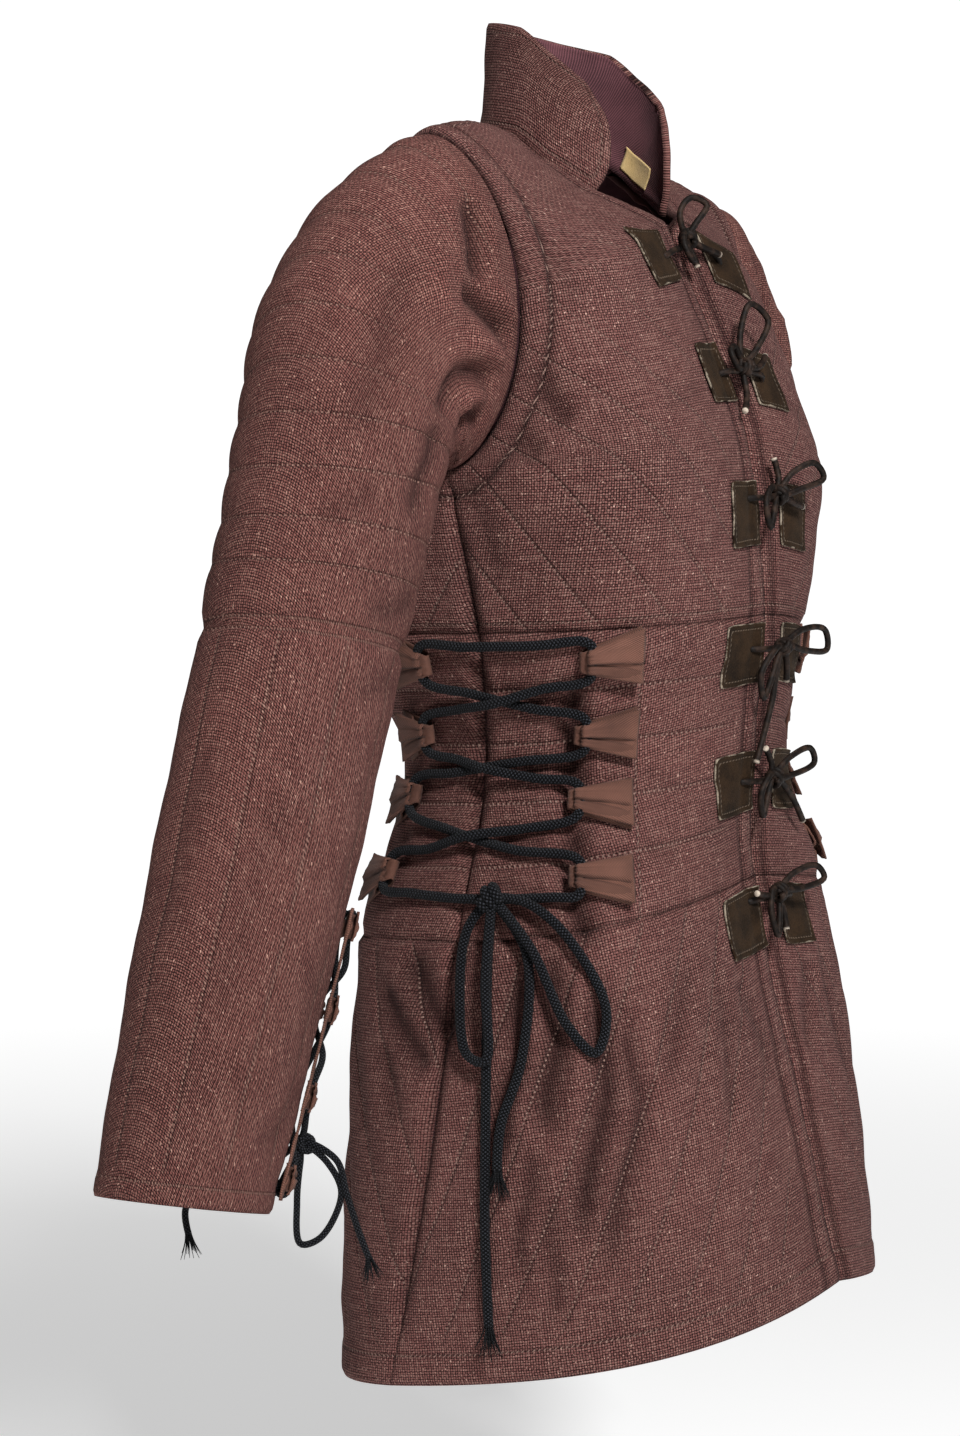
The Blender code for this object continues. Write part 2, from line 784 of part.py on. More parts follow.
Tab = namedtuple("Tab", "tip_row tip_turn base_row base_turn base_width")
FRONT_TABS = [
    Tab(3.82, 0.31, 3.84, 0.47, 0.034),
    Tab(3.27, 0.30, 3.25, 0.47, 0.034),
    Tab(2.78, 0.29, 2.72, 0.46, 0.034),
    Tab(2.28, 0.30, 2.22, 0.45, 0.030),
]
BACK_TABS = [
    Tab(3.82, -0.14, 3.84, -0.28, 0.034),
    Tab(3.30, -0.17, 3.28, -0.32, 0.034),
    Tab(2.85, -0.23, 2.80, -0.38, 0.034),
    Tab(2.36, -0.25, 2.30, -0.39, 0.030),
]
TIP_WIDTH = 0.012
# The folded ribbon seen from its side: distance from the tip, height over the cloth
FOLD_OUTSIDE = ((1, 6.7), (8.5, 12.6), (3.0, 13.0), (-0.9, 8.4), (3.5, 3.6), (20, 3.7), (1, 3.7))
FOLD_INSIDE = ((1, 5.5), (8.0, 11.4), (3.6, 11.7), (0.3, 8.3), (4.2, 4.7), (20, 4.9), (1, 4.9))
EYE = (0.005, 0.0082)  # where the lace passes: distance from the tip, height
EYE_REACH = 0.0105  # the lace is straight this far each way from the middle of the eye


def row_height(place, row, turn):
    low, high = place(row - 0.05, turn)[0], place(row + 0.05, turn)[0]
    return float(np.linalg.norm(high - low)) / 0.1


def tab_mesh(place, tab, size=1.0):
    """A ribbon folded round the lace. size scales its fold."""
    tip, base = np.array([tab.tip_row, tab.tip_turn]), np.array([tab.base_row, tab.base_turn])
    length = np.linalg.norm(place(*base)[0] - place(*tip)[0])
    height_of_row = row_height(place, *tip)
    sheets = []
    for fold in (FOLD_OUTSIDE, FOLD_INSIDE):
        lines = []
        for distance, height in fold:
            if distance == 20 and size < 1:
                continue  # the small loops are straight from the fold to the sewn end
            # A distance of 1 stands for the sewn end.
            share = 1.0 if distance == 1 else distance * size / 1000 / length
            row, turn = tip + (base - tip) * share
            width = TIP_WIDTH * size + (tab.base_width - TIP_WIDTH * size) * max(share, 0)
            half = width / 2 / height_of_row
            line = []
            for edge in (-half, half):
                point, outward = place(row + edge, turn)
                line.append(point + outward * height * size / 1000)
            lines.append(line)
        sheets.append(np.array(lines))
    return sheets


def eye_of(place, tab, size=1.0):
    tip, base = np.array([tab.tip_row, tab.tip_turn]), np.array([tab.base_row, tab.base_turn])
    length = np.linalg.norm(place(*base)[0] - place(*tip)[0])
    return tip + (base - tip) * EYE[0] * size / length


def lifted(place, row, turn, lift):
    point, outward = place(row, turn)
    return point + outward * lift


def lacing(place, fronts, backs, knot, size, run_lift, over_lift, upward):
    """From the knot up through the eyes, across the top and down again to the knot.

    The way up takes the last front tab, the back one above it and so on, and the way
    down takes the others, so the two cross once between each pair of tabs. upward is 1
    where rows rise towards the top.
    """
    count = len(fronts)
    up = [(fronts, backs)[k % 2][count - 1 - k] for k in range(count)]
    down = [(fronts, backs)[k % 2][k] for k in range(count)]
    stops = [(tab, upward) for tab in up] + [(tab, -upward) for tab in down]
    path = [lifted(place, *knot, run_lift)]
    last = np.array(knot)
    for number, (tab, way) in enumerate(stops):
        eye = eye_of(place, tab, size)
        high = row_height(place, *eye)
        reach = EYE_REACH * size / high
        start = eye - [way * reach, 0]
        over = number > count and number < 2 * count
        if number == 0 and upward < 0:
            path.append(lifted(place, start[0], knot[1], run_lift))
        else:
            path += leg(place, last, start, run_lift, over_lift if over else run_lift, size)
        path += [lifted(place, eye[0] + way * step, eye[1], EYE[1] * size) for step in (-reach, reach)]
        last = eye + [way * reach, 0]
    if upward < 0:
        path.append(lifted(place, last[0], knot[1], run_lift))
    else:
        path += leg(place, last, np.array(knot), run_lift, run_lift, size)
    return path + [lifted(place, *knot, run_lift)]


def leg(place, start, end, run_lift, over_lift, size):
    """The lace between two eyes. A short leg needs only its middle point."""
    shares, lifts = (0.5,), (over_lift,)
    if size == 1:
        shares, lifts = (0.3, 0.7), (run_lift, run_lift)
    if over_lift > run_lift and size == 1:
        shares, lifts = (0.24, 0.5, 0.76), (run_lift, over_lift, run_lift)
    return [lifted(place, *(start + (end - start) * t), lift) for t, lift in zip(shares, lifts)]


# The bow below the side lacing: rows, turns and lifts of each strand from the knot
SIDE_KNOT = (2.20, 0.11)
SIDE_BOW = {
    "loop to the back": (
        (2.20, 0.10, 0.010),
        (2.05, 0.055, 0.010),
        (1.75, 0.055, 0.010),
        (1.48, 0.09, 0.010),
        (1.45, 0.14, 0.012),
        (1.80, 0.125, 0.014),
        (2.20, 0.115, 0.010),
    ),
    "loop to the front": (
        (2.20, 0.115, 0.010),
        (2.16, 0.20, 0.010),
        (1.98, 0.295, 0.009),
        (1.62, 0.385, 0.008),
        (1.45, 0.365, 0.008),
        (1.58, 0.305, 0.009),
        (1.92, 0.225, 0.012),
        (2.18, 0.13, 0.012),
    ),
    "short tail": (
        (2.19, 0.12, 0.009),
        (1.92, 0.205, 0.0066),
        (1.45, 0.212, 0.0062),
        (1.17, 0.178, 0.0062),
        (0.98, 0.180, 0.0062),
    ),
    "long tail": (
        (2.18, 0.105, 0.007),
        (1.90, 0.110, 0.0062),
        (1.55, 0.127, 0.0062),
        (1.15, 0.146, 0.0062),
        (0.75, 0.166, 0.0062),
        (0.28, 0.198, 0.0062),
    ),
}


def build_side_lacing(side, word):
    def place(row, turn):
        return side_place(side, row, turn)

    for tabs, half in ((FRONT_TABS, "front"), (BACK_TABS, "back")):
        for number, tab in enumerate(tabs, 1):
            outer, inner = tab_mesh(place, tab)
            closed_wall(f"tab_{half}_{word}_{number}", outer, inner, tape_cotton(), None)
    knot = lifted(place, *SIDE_KNOT, 0.0095)
    path = lacing(place, FRONT_TABS, BACK_TABS, SIDE_KNOT, 1, 0.0068, 0.0145, 1)
    pieces = [lump(knot, (0.0065, 0.0085, 0.0075)), tube(path, LACE_RADIUS)]
    for strand in SIDE_BOW.values():
        points = [knot] + [lifted(place, *row) for row in strand[1:]]
        pieces.append(tube(points, LACE_RADIUS))
    fused(f"side_lace_{word}", pieces, braid())


# ---- The slit of each sleeve: a tape folded into four loops on each edge, and its lace

SLEEVE_TAB_RINGS = (7.06, 7.34, 7.62, 7.88)
SLEEVE_FOLD = 0.75  # the size of these loops against the side tabs
SLEEVE_KNOT_RING = 7.76


def sleeve_tabs(edge):
    """Loops on the front edge of the slit, edge 1, or on its back edge, edge -1."""
    start = 0 if edge > 0 else SLEEVE_STEPS
    return [
        Tab(ring, start + edge * 0.14, ring, start + edge * 0.88, 0.018)
        for ring in SLEEVE_TAB_RINGS
    ]


def build_sleeve_lacing(side, word):
    def place(ring, column):
        return sleeve_place(side, ring, column)

    def across(ring, column):
        """Columns that run through the slit: below 0 they are on its back edge."""
        if column >= 0.12 or column <= -0.12:
            return place(ring, column if column > 0 else SLEEVE_STEPS + column)
        front, back = place(ring, 0.12), place(ring, SLEEVE_STEPS - 0.12)
        share = (column + 0.12) / 0.24
        point = back[0] + (front[0] - back[0]) * share
        return point, unit(front[1] + back[1])

    backs = [tab._replace(tip_turn=-0.14, base_turn=-0.88) for tab in sleeve_tabs(1)]
    for edge, name in ((1, "front"), (-1, "back")):
        tabs = sleeve_tabs(edge)
        pieces = []
        for tab in tabs:
            outer, inner = tab_mesh(place, tab, SLEEVE_FOLD)
            pieces.append(closed_wall("loop", outer, inner, tape_cotton(), None))
        start = 0 if edge > 0 else SLEEVE_STEPS
        strip = wall(
            "strip",
            steps(7.0, 7.95, 4),
            [start + edge * 0.62, start + edge * 0.90],
            place,
            lambda i, j: 0,
            tape_cotton(),
            lift=0.0047,
            thickness=0.0016,
            every=(1, 1),
        )
        fused(f"sleeve_tape_{name}_{word}", [strip] + pieces, tape_cotton())

    knot_place = (SLEEVE_KNOT_RING, 0.0)
    knot = lifted(across, *knot_place, 0.0130)
    path = lacing(across, sleeve_tabs(1), backs, knot_place, SLEEVE_FOLD, 0.0052, 0.0108, -1)
    path[0] = path[-1] = knot
    slit = lifted(across, 7.97, 0.0, -0.006)
    middle = np.array([-0.3085, 0.1155, -0.628])
    aside, out = np.array([0.469, -0.883, 0]), unit(np.array([0.7, -0.7, 0]))
    strands = (
        # the loop, the outer tail, and the tail that hangs inside the cuff
        [(0.008, -0.012, 0.006), (0.016, -0.030, 0.006), (0.006, -0.056, 0.004)]
        + [(-0.006, -0.060, 0.004), (-0.007, -0.035, 0.003), (-0.005, -0.012, 0.003)],
        [(0.017, -0.010, 0.002), (0.025, -0.030, 0.000), (0.032, -0.052, 0.000)]
        + [(0.038, -0.068, 0.000)],
    )
    pieces = [lump(knot, (0.0055, 0.0055, 0.0065)), tube(path, THONG_RADIUS)]
    for number, strand in enumerate(strands):
        points = [knot]
        for sideways, up, off in strand:
            offset = aside * sideways + out * off + np.array([0, 0, up])
            points.append(knot + mirrored(offset, -side))
        if number == 0:
            points.append(knot)
        pieces.append(tube(points, THONG_RADIUS))
    centre = mirrored(middle, -side)
    inside = [knot, lifted(across, 7.9, 0.0, 0.005), slit, centre, centre - [0, 0, 0.018]]
    pieces.append(tube(inside, THONG_RADIUS))
    fused(f"sleeve_lace_{word}", pieces, braid())


# ---- The front ties: a thong from each patch, knotted over the opening in a bow

Tie = namedtuple("Tie", "row x loop_x loop_up left_x left_up tail_x tail_up end_x end_up")
TIES = [
    Tie(6.86, -0.002, 0.016, 0.026, -0.026, -0.008, 0.030, -0.002, 0.006, -0.018),
    Tie(6.06, 0.006, 0.022, 0.034, -0.020, 0.004, 0.030, 0.012, -0.022, -0.040),
    Tie(4.74, 0.012, 0.032, 0.020, -0.026, -0.014, 0.028, -0.004, 0.002, 0.026),
    Tie(3.78, 0.008, 0.044, 0.008, -0.030, -0.026, 0.010, -0.022, -0.022, -0.074),
    Tie(2.74, 0.008, 0.036, 0.014, -0.020, -0.018, 0.048, -0.028, -0.010, 0.018),
    Tie(1.90, 0.010, 0.038, 0.014, -0.018, -0.020, -0.032, 0.004, 0.006, -0.022),
]
KNOT_LIFT = 0.0095


def over_front(row, x, lift):
    """A place over the closed fronts, which the left one's drop does not change."""
    points, lengths = coat_row("front", row)
    along = float(np.interp(-abs(x), -points[:, 0], lengths))
    point = coat("front", row, along) + coat_normal("front", row, along) * lift
    return mirrored(point, 1 if x > 0 else -1)


def build_tie(number, tie):
    high = row_height(lambda row, x: (over_front(row, x, 0), None), tie.row, 0.0)

    def at(x, up, lift):
        return over_front(tie.row + up / high, tie.x + x, lift)

    knot = at(0, 0, KNOT_LIFT)
    loop_x, loop_up, left_x, left_up = tie[2:6]
    patch = PATCHES[number - 1]
    near, far = (
        lift + PATCH_THICKNESS + THONG_RADIUS + 0.0005
        for lift in (patch.near_lift, patch.far_lift)
    )
    inner = TOP_INNER if number == 1 else NEAR_INNER
    strands = (
        [(inner - 0.014 - tie.x, -0.001, near)],
        [(0.036 - tie.x, -0.001, far)],
        [
            (loop_x * 0.45 - loop_up * 0.16, loop_up * 0.5 + loop_x * 0.16, 0.014),
            (loop_x * 0.92 - loop_up * 0.14, loop_up * 0.95 + loop_x * 0.12, 0.021),
            (loop_x + loop_up * 0.12, loop_up * 0.88 - loop_x * 0.10, 0.022),
            (loop_x * 0.45 + loop_up * 0.10, loop_up * 0.4 - loop_x * 0.1, 0.015),
            None,
        ],
        [
            (left_x * 0.5, left_up * 0.4 + 0.010, 0.012),
            (left_x, left_up * 0.8 + 0.006, 0.011),
            (left_x * 0.8, left_up - 0.005, 0.011),
            None,
        ],
        [
            (tie.tail_x * 0.5, tie.tail_up * 0.3 - 0.002, 0.010),
            (tie.tail_x, tie.tail_up, 0.009),
        ],
        [
            (tie.end_x * 0.45 + 0.003, tie.end_up * 0.5, 0.0080),
            (tie.end_x, tie.end_up, 0.0075),
        ],
    )
    pieces = [lump(knot, (0.0060, 0.0048, 0.0065))]
    for strand in strands:
        points = [knot] + [knot if step is None else at(*step) for step in strand]
        pieces.append(tube(points, THONG_RADIUS))
    fused(f"tie_{number}", pieces, leather())


LEFT_DROP = 0.016  # how much lower the left shoulder hangs


def settle(mesh):
    for vert in mesh.vertices:
        share = eased(vert.co.x / 0.16) * eased((vert.co.z + 0.45) / 0.30)
        vert.co.z -= LEFT_DROP * share


def clear_scene():
    for found in list(bpy.data.objects):
        bpy.data.objects.remove(found)


def main():
    clear_scene()
    build_panels()
    build_sleeve(-1, "sleeve_right")
    build_sleeve(1, "sleeve_left")
    build_neck()
    build_patches()
    for side, word in ((-1, "right"), (1, "left")):
        build_side_lacing(side, word)
        build_sleeve_lacing(side, word)
    for number, tie in enumerate(TIES, 1):
        build_tie(number, tie)
    for made in bpy.data.objects:
        settle(made.data)


if __name__ == "__main__":
    main()
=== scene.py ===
# %% [markdown]
# # A quilted gambeson, worn and hollow
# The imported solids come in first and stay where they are. Each visible piece is then
# made again in cloth, leather or cord over its own solid, which it hides.

# %% The frame
import json
import math
from collections import namedtuple

import bmesh
import bpy
import numpy as np
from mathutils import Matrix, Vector
from mathutils.bvhtree import BVHTree

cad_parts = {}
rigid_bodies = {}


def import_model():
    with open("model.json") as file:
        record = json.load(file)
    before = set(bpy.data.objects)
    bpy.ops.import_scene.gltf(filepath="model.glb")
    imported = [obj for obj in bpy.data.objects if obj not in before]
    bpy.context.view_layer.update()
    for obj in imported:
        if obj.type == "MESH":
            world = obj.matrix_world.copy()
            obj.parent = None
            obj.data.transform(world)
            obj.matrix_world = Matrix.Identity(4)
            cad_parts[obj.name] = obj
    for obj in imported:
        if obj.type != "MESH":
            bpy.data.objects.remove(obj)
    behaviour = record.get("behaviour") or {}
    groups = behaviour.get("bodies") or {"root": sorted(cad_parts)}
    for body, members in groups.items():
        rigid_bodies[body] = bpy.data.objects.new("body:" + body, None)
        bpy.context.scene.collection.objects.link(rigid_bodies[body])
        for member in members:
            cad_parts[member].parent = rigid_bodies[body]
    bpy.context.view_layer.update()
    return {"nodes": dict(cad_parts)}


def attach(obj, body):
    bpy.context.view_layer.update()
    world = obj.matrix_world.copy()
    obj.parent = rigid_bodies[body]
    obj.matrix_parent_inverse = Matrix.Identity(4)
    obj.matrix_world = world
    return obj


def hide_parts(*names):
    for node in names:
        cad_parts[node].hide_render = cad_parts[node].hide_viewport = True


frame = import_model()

BODY = "root"
print("solids in the frame:", len(frame["nodes"]))

# %% [markdown]
# ## The camera
# The coat is seen from the wearer's right front, level with the chest and from about
# two metres, through a long lens, so that the sleeve is only a little larger than the
# far side. A camera that tracks a direction needs no constraint on it.

# %% The camera
camera_data = bpy.data.cameras.new("camera")
camera_data.sensor_fit = "HORIZONTAL"
camera_data.sensor_width = 36
camera_data.lens = 128.9
camera = bpy.data.objects.new("camera", camera_data)
camera.location = (-1.9426, -1.0318, -0.205)
camera.rotation_euler = Vector((0.8651, 0.5027, -0.0693)).to_track_quat("-Z", "Y").to_euler()
bpy.context.scene.collection.objects.link(camera)
bpy.context.scene.camera = camera

# %% [markdown]
# ## The surface of the coat
# A padded coat is one smooth surface cut by seams, so the pattern pieces and all that
# lies on them can be read from one set of sections. Each row below runs from the side
# seam to the centre line at one height, as a curve pulled towards a corner point. It
# is the same table as the solids have, so cloth and solids agree everywhere.

# %% Sections of the coat, in metres
WALL = 0.006  # of the solids
OVERLAP = 0.022  # the left front runs this far under the right one
Section = namedtuple("Section", "name edge_y edge_z corner_x corner_y lift fullness")
Side = namedtuple("Side", "x y z")
SIDE = [
    Side(0.190, 0.050, -0.755),
    Side(0.184, 0.028, -0.617),
    Side(0.164, 0.018, -0.484),
    Side(0.127, 0.022, -0.385),
    Side(0.142, 0.018, -0.299),
    Side(0.160, 0.028, -0.197),
]
FRONT = [
    Section("hem", -0.163, -0.704, 0.198, -0.160, 0, 1.00),
    Section("skirt", -0.134, -0.590, 0.202, -0.148, 0, 1.00),
    Section("skirt seam", -0.102, -0.453, 0.178, -0.124, 0, 1.05),
    Section("waist", -0.103, -0.370, 0.134, -0.106, 0, 0.85),
    Section("chest seam", -0.108, -0.289, 0.148, -0.116, 0, 0.95),
    Section("armpit", -0.098, -0.193, 0.173, -0.135, 0, 1.00),
    Section("chest", -0.083, -0.143, 0.150, -0.114, 0, 1.00),
    Section("neck front", -0.037, -0.0435, 0.106, -0.088, 0, 0.90),
    Section("neck side", 0, 0, 0.100, -0.026, 0.006, 0.80),
    Section("shoulder", 0, 0, 0.120, 0.032, 0.020, 0.80),
]
BACK = [
    Section("hem", 0.140, -0.774, 0.182, 0.142, 0, 0.90),
    Section("skirt", 0.142, -0.638, 0.180, 0.148, 0, 0.90),
    Section("skirt seam", 0.141, -0.497, 0.166, 0.146, 0, 0.90),
    Section("waist", 0.120, -0.393, 0.129, 0.126, 0, 0.80),
    Section("chest seam", 0.152, -0.305, 0.146, 0.160, 0, 0.85),
    Section("armpit", 0.150, -0.200, 0.164, 0.160, 0, 0.90),
    Section("shoulder blade", 0.143, -0.130, 0.150, 0.152, 0, 0.95),
    Section("yoke", 0.125, -0.055, 0, 0, 0, 0),
    Section("neck back", 0.087, 0.016, 0, 0, 0, 0),
]
HEM, SKIRT_SEAM, CHEST_SEAM, ARMPIT, SHOULDER = 0, 2, 4, 5, 9
NECK_FRONT, NECK_BACK, BLADES = 7, 8, 6
SHOULDER_TURN = 100
ARMHOLE_TURNS = (0, 58, 93, 130, 180)
NECK_HALF_WIDTH, NECK_HALF_DEPTH, NECK_MIDDLE_Y = 0.065, 0.062, 0.025
NECK_LEVELS = ((0, -0.0435), (50, -0.028), (80, -0.008), (100, 0.008), (140, 0.015), (180, 0.016))
ARMHOLE_MIDDLE = (0.028, -0.098)
ARMHOLE_HALF_DEPTH, ARMHOLE_HALF_HEIGHT = 0.047, 0.099
ARMHOLE_X, ARMHOLE_X_LOW, ARMHOLE_X_TOP = 0.147, 0.013, 0.033

# %% Smooth curves through named values
def cubic(t):
    """How much a start, the slope there, an end and the slope there count at t."""
    return 2 * t**3 - 3 * t**2 + 1, t**3 - 2 * t**2 + t, -2 * t**3 + 3 * t**2, t**3 - t**2


def glide(values, at):
    """A smooth curve through values that stand at 0, 1, 2 ..., read at one place."""
    values = np.asarray(values, float)
    slopes = np.gradient(values, axis=0)
    first = int(min(max(math.floor(at), 0), len(values) - 2))
    start, leave, end, arrive = cubic(at - first)
    early = start * values[first] + leave * slopes[first]
    return early + end * values[first + 1] + arrive * slopes[first + 1]


def eased(t):
    t = np.clip(t, 0, 1)
    return t * t * (3 - 2 * t)


def unit(vectors):
    return vectors / np.maximum(np.linalg.norm(vectors, axis=-1, keepdims=True), 1e-12)


def lengths_along(line):
    return np.concatenate([[0], np.linalg.norm(np.diff(line, axis=0), axis=1).cumsum()])


def at_lengths(line, lengths, wanted):
    return np.stack([np.interp(wanted, lengths, line[:, k]) for k in range(3)], axis=-1)


def column_lengths(points):
    """How far up its column each point of a net lies."""
    steps = np.linalg.norm(np.diff(points, axis=0), axis=2)
    return np.concatenate([np.zeros((1, points.shape[1])), steps.cumsum(axis=0)])


def row_lengths(points):
    """How far along its row each point of a net lies."""
    steps = np.linalg.norm(np.diff(points, axis=1), axis=2)
    return np.concatenate([np.zeros((len(points), 1)), steps.cumsum(axis=1)], axis=1)


def near(distance, width):
    """1 at a line and 0 well away from it, smooth between them."""
    return np.exp(-((distance / width) ** 2))


# %% The neck, the armhole and the rows between them
def neck(turn):
    turns, levels = zip(*NECK_LEVELS)
    place = np.interp(abs(turn), turns, range(len(turns)))
    angle = math.radians(turn)
    x, y = NECK_HALF_WIDTH * math.sin(angle), NECK_MIDDLE_Y - NECK_HALF_DEPTH * math.cos(angle)
    return np.array([x, y, float(glide(levels, place))])


def armhole(turn):
    angle = math.radians(turn)
    low, top = (1 + math.cos(angle)) / 2, (1 - math.cos(angle)) / 2
    return np.array(
        [
            ARMHOLE_X + ARMHOLE_X_LOW * low**3 + ARMHOLE_X_TOP * top**3,
            ARMHOLE_MIDDLE[0] - ARMHOLE_HALF_DEPTH * math.sin(angle),
            ARMHOLE_MIDDLE[1] - ARMHOLE_HALF_HEIGHT * math.cos(angle),
        ]
    )


def side_end(half, row):
    if row <= ARMPIT:
        return glide(SIDE, row)
    turn = glide(ARMHOLE_TURNS, row - ARMPIT)
    return armhole(turn if half == "front" else -turn)


def centre_end(half, row):
    if half == "front" and row > NECK_FRONT:
        return neck((row - NECK_FRONT) / (SHOULDER - NECK_FRONT) * SHOULDER_TURN)
    sections = FRONT[: NECK_FRONT + 1] if half == "front" else BACK
    return glide([(0, s.edge_y, s.edge_z) for s in sections], row)


ROWS_MADE = {}


def coat_row(half, row, steps=96):
    """The points of one row and how far along it each lies, from 0 to 1."""
    key = half, round(row, 5)
    if key in ROWS_MADE:
        return ROWS_MADE[key]
    if half == "back" and row > BLADES:
        points, alongs = upper_back_row(row, steps)
    else:
        sections = FRONT if half == "front" else BACK[: BLADES + 1]
        start, end = side_end(half, row), centre_end(half, row)
        corner_x, corner_y, lift, fullness = glide(
            [(s.corner_x, s.corner_y, s.lift, s.fullness) for s in sections], row
        )
        corner = np.array([corner_x, corner_y, (start[2] + end[2]) / 2 + lift])
        w = np.linspace(0, 1, steps + 1)[:, None]
        pulls = (1 - w) ** 2, 2 * fullness * w * (1 - w), w**2
        points = (pulls[0] * start + pulls[1] * corner + pulls[2] * end) / sum(pulls)
        lengths = lengths_along(points)
        alongs = lengths / lengths[-1]
    ROWS_MADE[key] = points, alongs
    return points, alongs


def upper_back_row(row, steps):
    """A row of the back between the armhole, the shoulder seam, the neck and the centre."""
    up = (row - BLADES) / (SHOULDER - BLADES)
    alongs = np.linspace(0, 1, steps + 1)
    low = coat_line("back", BLADES, alongs)
    half = steps // 2
    shoulder = coat_line("front", SHOULDER, 2 * alongs[: half + 1])
    round_neck = [neck(100 + (a - 0.5) * 160) for a in alongs[half + 1 :]]
    high = np.concatenate([shoulder, round_neck])
    start = side_end("back", row)
    end = centre_end("back", BLADES + up * (NECK_BACK - BLADES))
    w = alongs[:, None]
    rise = (1 - up) * low + up * high
    return rise + (1 - w) * (start - rise[0]) + w * (end - rise[-1]), alongs


def coat_line(half, row, alongs):
    points, lengths = coat_row(half, row)
    return at_lengths(points, lengths, np.asarray(alongs, float))


def coat(half, row, along):
    return coat_line(half, row, [along])[0]


# %% Places on the coat: a point and the way out from it
def mirrored(vectors, side):
    return vectors * np.array([side, 1, 1])


def coat_normal(half, row, along):
    step = 0.04
    low, high = max(row - step, HEM), min(row + step, SHOULDER)
    left, right = max(along - step, 0), min(along + step, 1)
    up = coat(half, high, along) - coat(half, low, along)
    across = coat(half, row, right) - coat(half, row, left)
    return unit(np.cross(across, up) if half == "back" else np.cross(up, across))


SINK_FROM, SINK_TO, SINK = 0.020, 0.004, WALL + 0.0040


def sink_at(x):
    return eased((SINK_FROM - x) / (SINK_FROM - SINK_TO)) * SINK


def front_place(side, row, along):
    point, outward = coat("front", row, along), coat_normal("front", row, along)
    if side > 0:
        point = point - outward * sink_at(point[0])
    return mirrored(point, side), mirrored(outward, side)


def front_along(row, x):
    points, lengths = coat_row("front", row)
    return float(np.interp(-abs(x), -points[:, 0], lengths))


def front_place_at_x(side, row, x):
    along = front_along(row, x)
    if x >= 0:
        return front_place(side, row, along)
    point, outward = coat("front", row, along), coat_normal("front", row, along)
    return mirrored(point - outward * SINK, -side), mirrored(outward, -side)


def back_place(row, across):
    side, along = (1, across) if across <= 1 else (-1, 2 - across)
    return mirrored(coat("back", row, along), side), mirrored(coat_normal("back", row, along), side)


def side_place(side, row, turn):
    """Round the side seam: turn is along the front above 0 and along the back below 0."""
    if turn >= 0:
        return front_place(side, row, turn)
    return back_place(row, -turn if side > 0 else 2 + turn)


def over_front(row, x, lift):
    """A place over the closed fronts, which the left one's drop does not change."""
    along = front_along(row, x)
    point = coat("front", row, along) + coat_normal("front", row, along) * lift
    return mirrored(point, 1 if x > 0 else -1)


# %% The sleeves' rings
Ring = namedtuple("Ring", "name outer_x outer_z inner_x inner_z middle_y half_depth")
SLEEVE = [
    Ring("armhole", 0.180, 0.001, 0.160, -0.197, 0.028, 0.047),
    Ring("cap", 0.208, -0.009, 0.165, -0.200, 0.032, 0.054),
    Ring("cap side", 0.247, -0.043, 0.170, -0.2015, 0.042, 0.061),
    Ring("cap foot", 0.281, -0.098, 0.1745, -0.2015, 0.048, 0.063),
    Ring("armpit", 0.293, -0.1735, 0.179, -0.2005, 0.054, 0.063),
    Ring("upper arm", 0.3045, -0.230, 0.1935, -0.256, 0.060, 0.062),
    Ring("elbow", 0.3165, -0.285, 0.2075, -0.311, 0.066, 0.0605),
    Ring("forearm", 0.3505, -0.432, 0.2435, -0.458, 0.0805, 0.059),
    Ring("cuff", 0.386, -0.611, 0.289, -0.632, 0.100, 0.0525),
]
ELBOW, CUFF = 6, 8
SLIT_TURN, SLIT_TOP, SLIT_HALF_GAP, SLEEVE_STEPS = 40, 6.95, 9.5, 16


def sleeve_ring(ring, turns):
    """Points of the left sleeve at one ring, turns in degrees from its inner side."""
    outer_x, outer_z, inner_x, inner_z, middle_y, half_depth = glide(
        [tuple(r)[1:] for r in SLEEVE], ring
    )
    angle = np.radians(turns)
    cos, sin = np.cos(angle), np.sin(angle)
    low, top = (1 + cos) / 2, (1 - cos) / 2
    hole_x = ARMHOLE_X + ARMHOLE_X_LOW * low**3 + ARMHOLE_X_TOP * top**3
    first = SLEEVE[0]
    plain_x = (first.outer_x + first.inner_x) / 2 + (first.inner_x - first.outer_x) / 2 * cos
    x = (outer_x + inner_x) / 2 + (inner_x - outer_x) / 2 * cos
    x = x + (hole_x - plain_x) * (1 - eased(ring / 2.5))
    z = (outer_z + inner_z) / 2 + (inner_z - outer_z) / 2 * cos
    return np.stack([x, middle_y - half_depth * sin, z], axis=-1)


def armhole_turn(rows):
    laps, rest = divmod(rows, 8)
    if rest > 4:
        return 360 * (laps + 1) - glide(ARMHOLE_TURNS, 8 - rest)
    return 360 * laps + glide(ARMHOLE_TURNS, rest)


def sleeve_turns(ring, columns):
    gap = math.degrees(0.00015 / 0.06) / 2
    gap += SLIT_HALF_GAP * max(ring - SLIT_TOP, 0) / (CUFF - SLIT_TOP)
    columns = np.asarray(columns, float)
    turns = SLIT_TURN + gap + (360 - 2 * gap) * columns / SLEEVE_STEPS
    hole = np.array([armhole_turn(c / 2) for c in columns])
    return turns + (hole - turns) * (1 - eased(ring / 3))


def sleeve_place(side, ring, column):
    turn = sleeve_turns(ring, [column])[0]
    low, high = max(ring - 0.05, 0), min(ring + 0.05, CUFF)
    down = sleeve_ring(high, turn) - sleeve_ring(low, turn)
    round_it = sleeve_ring(ring, turn + 2) - sleeve_ring(ring, turn - 2)
    point, outward = sleeve_ring(ring, turn), unit(np.cross(down, round_it))
    return mirrored(point, side), mirrored(outward, side)


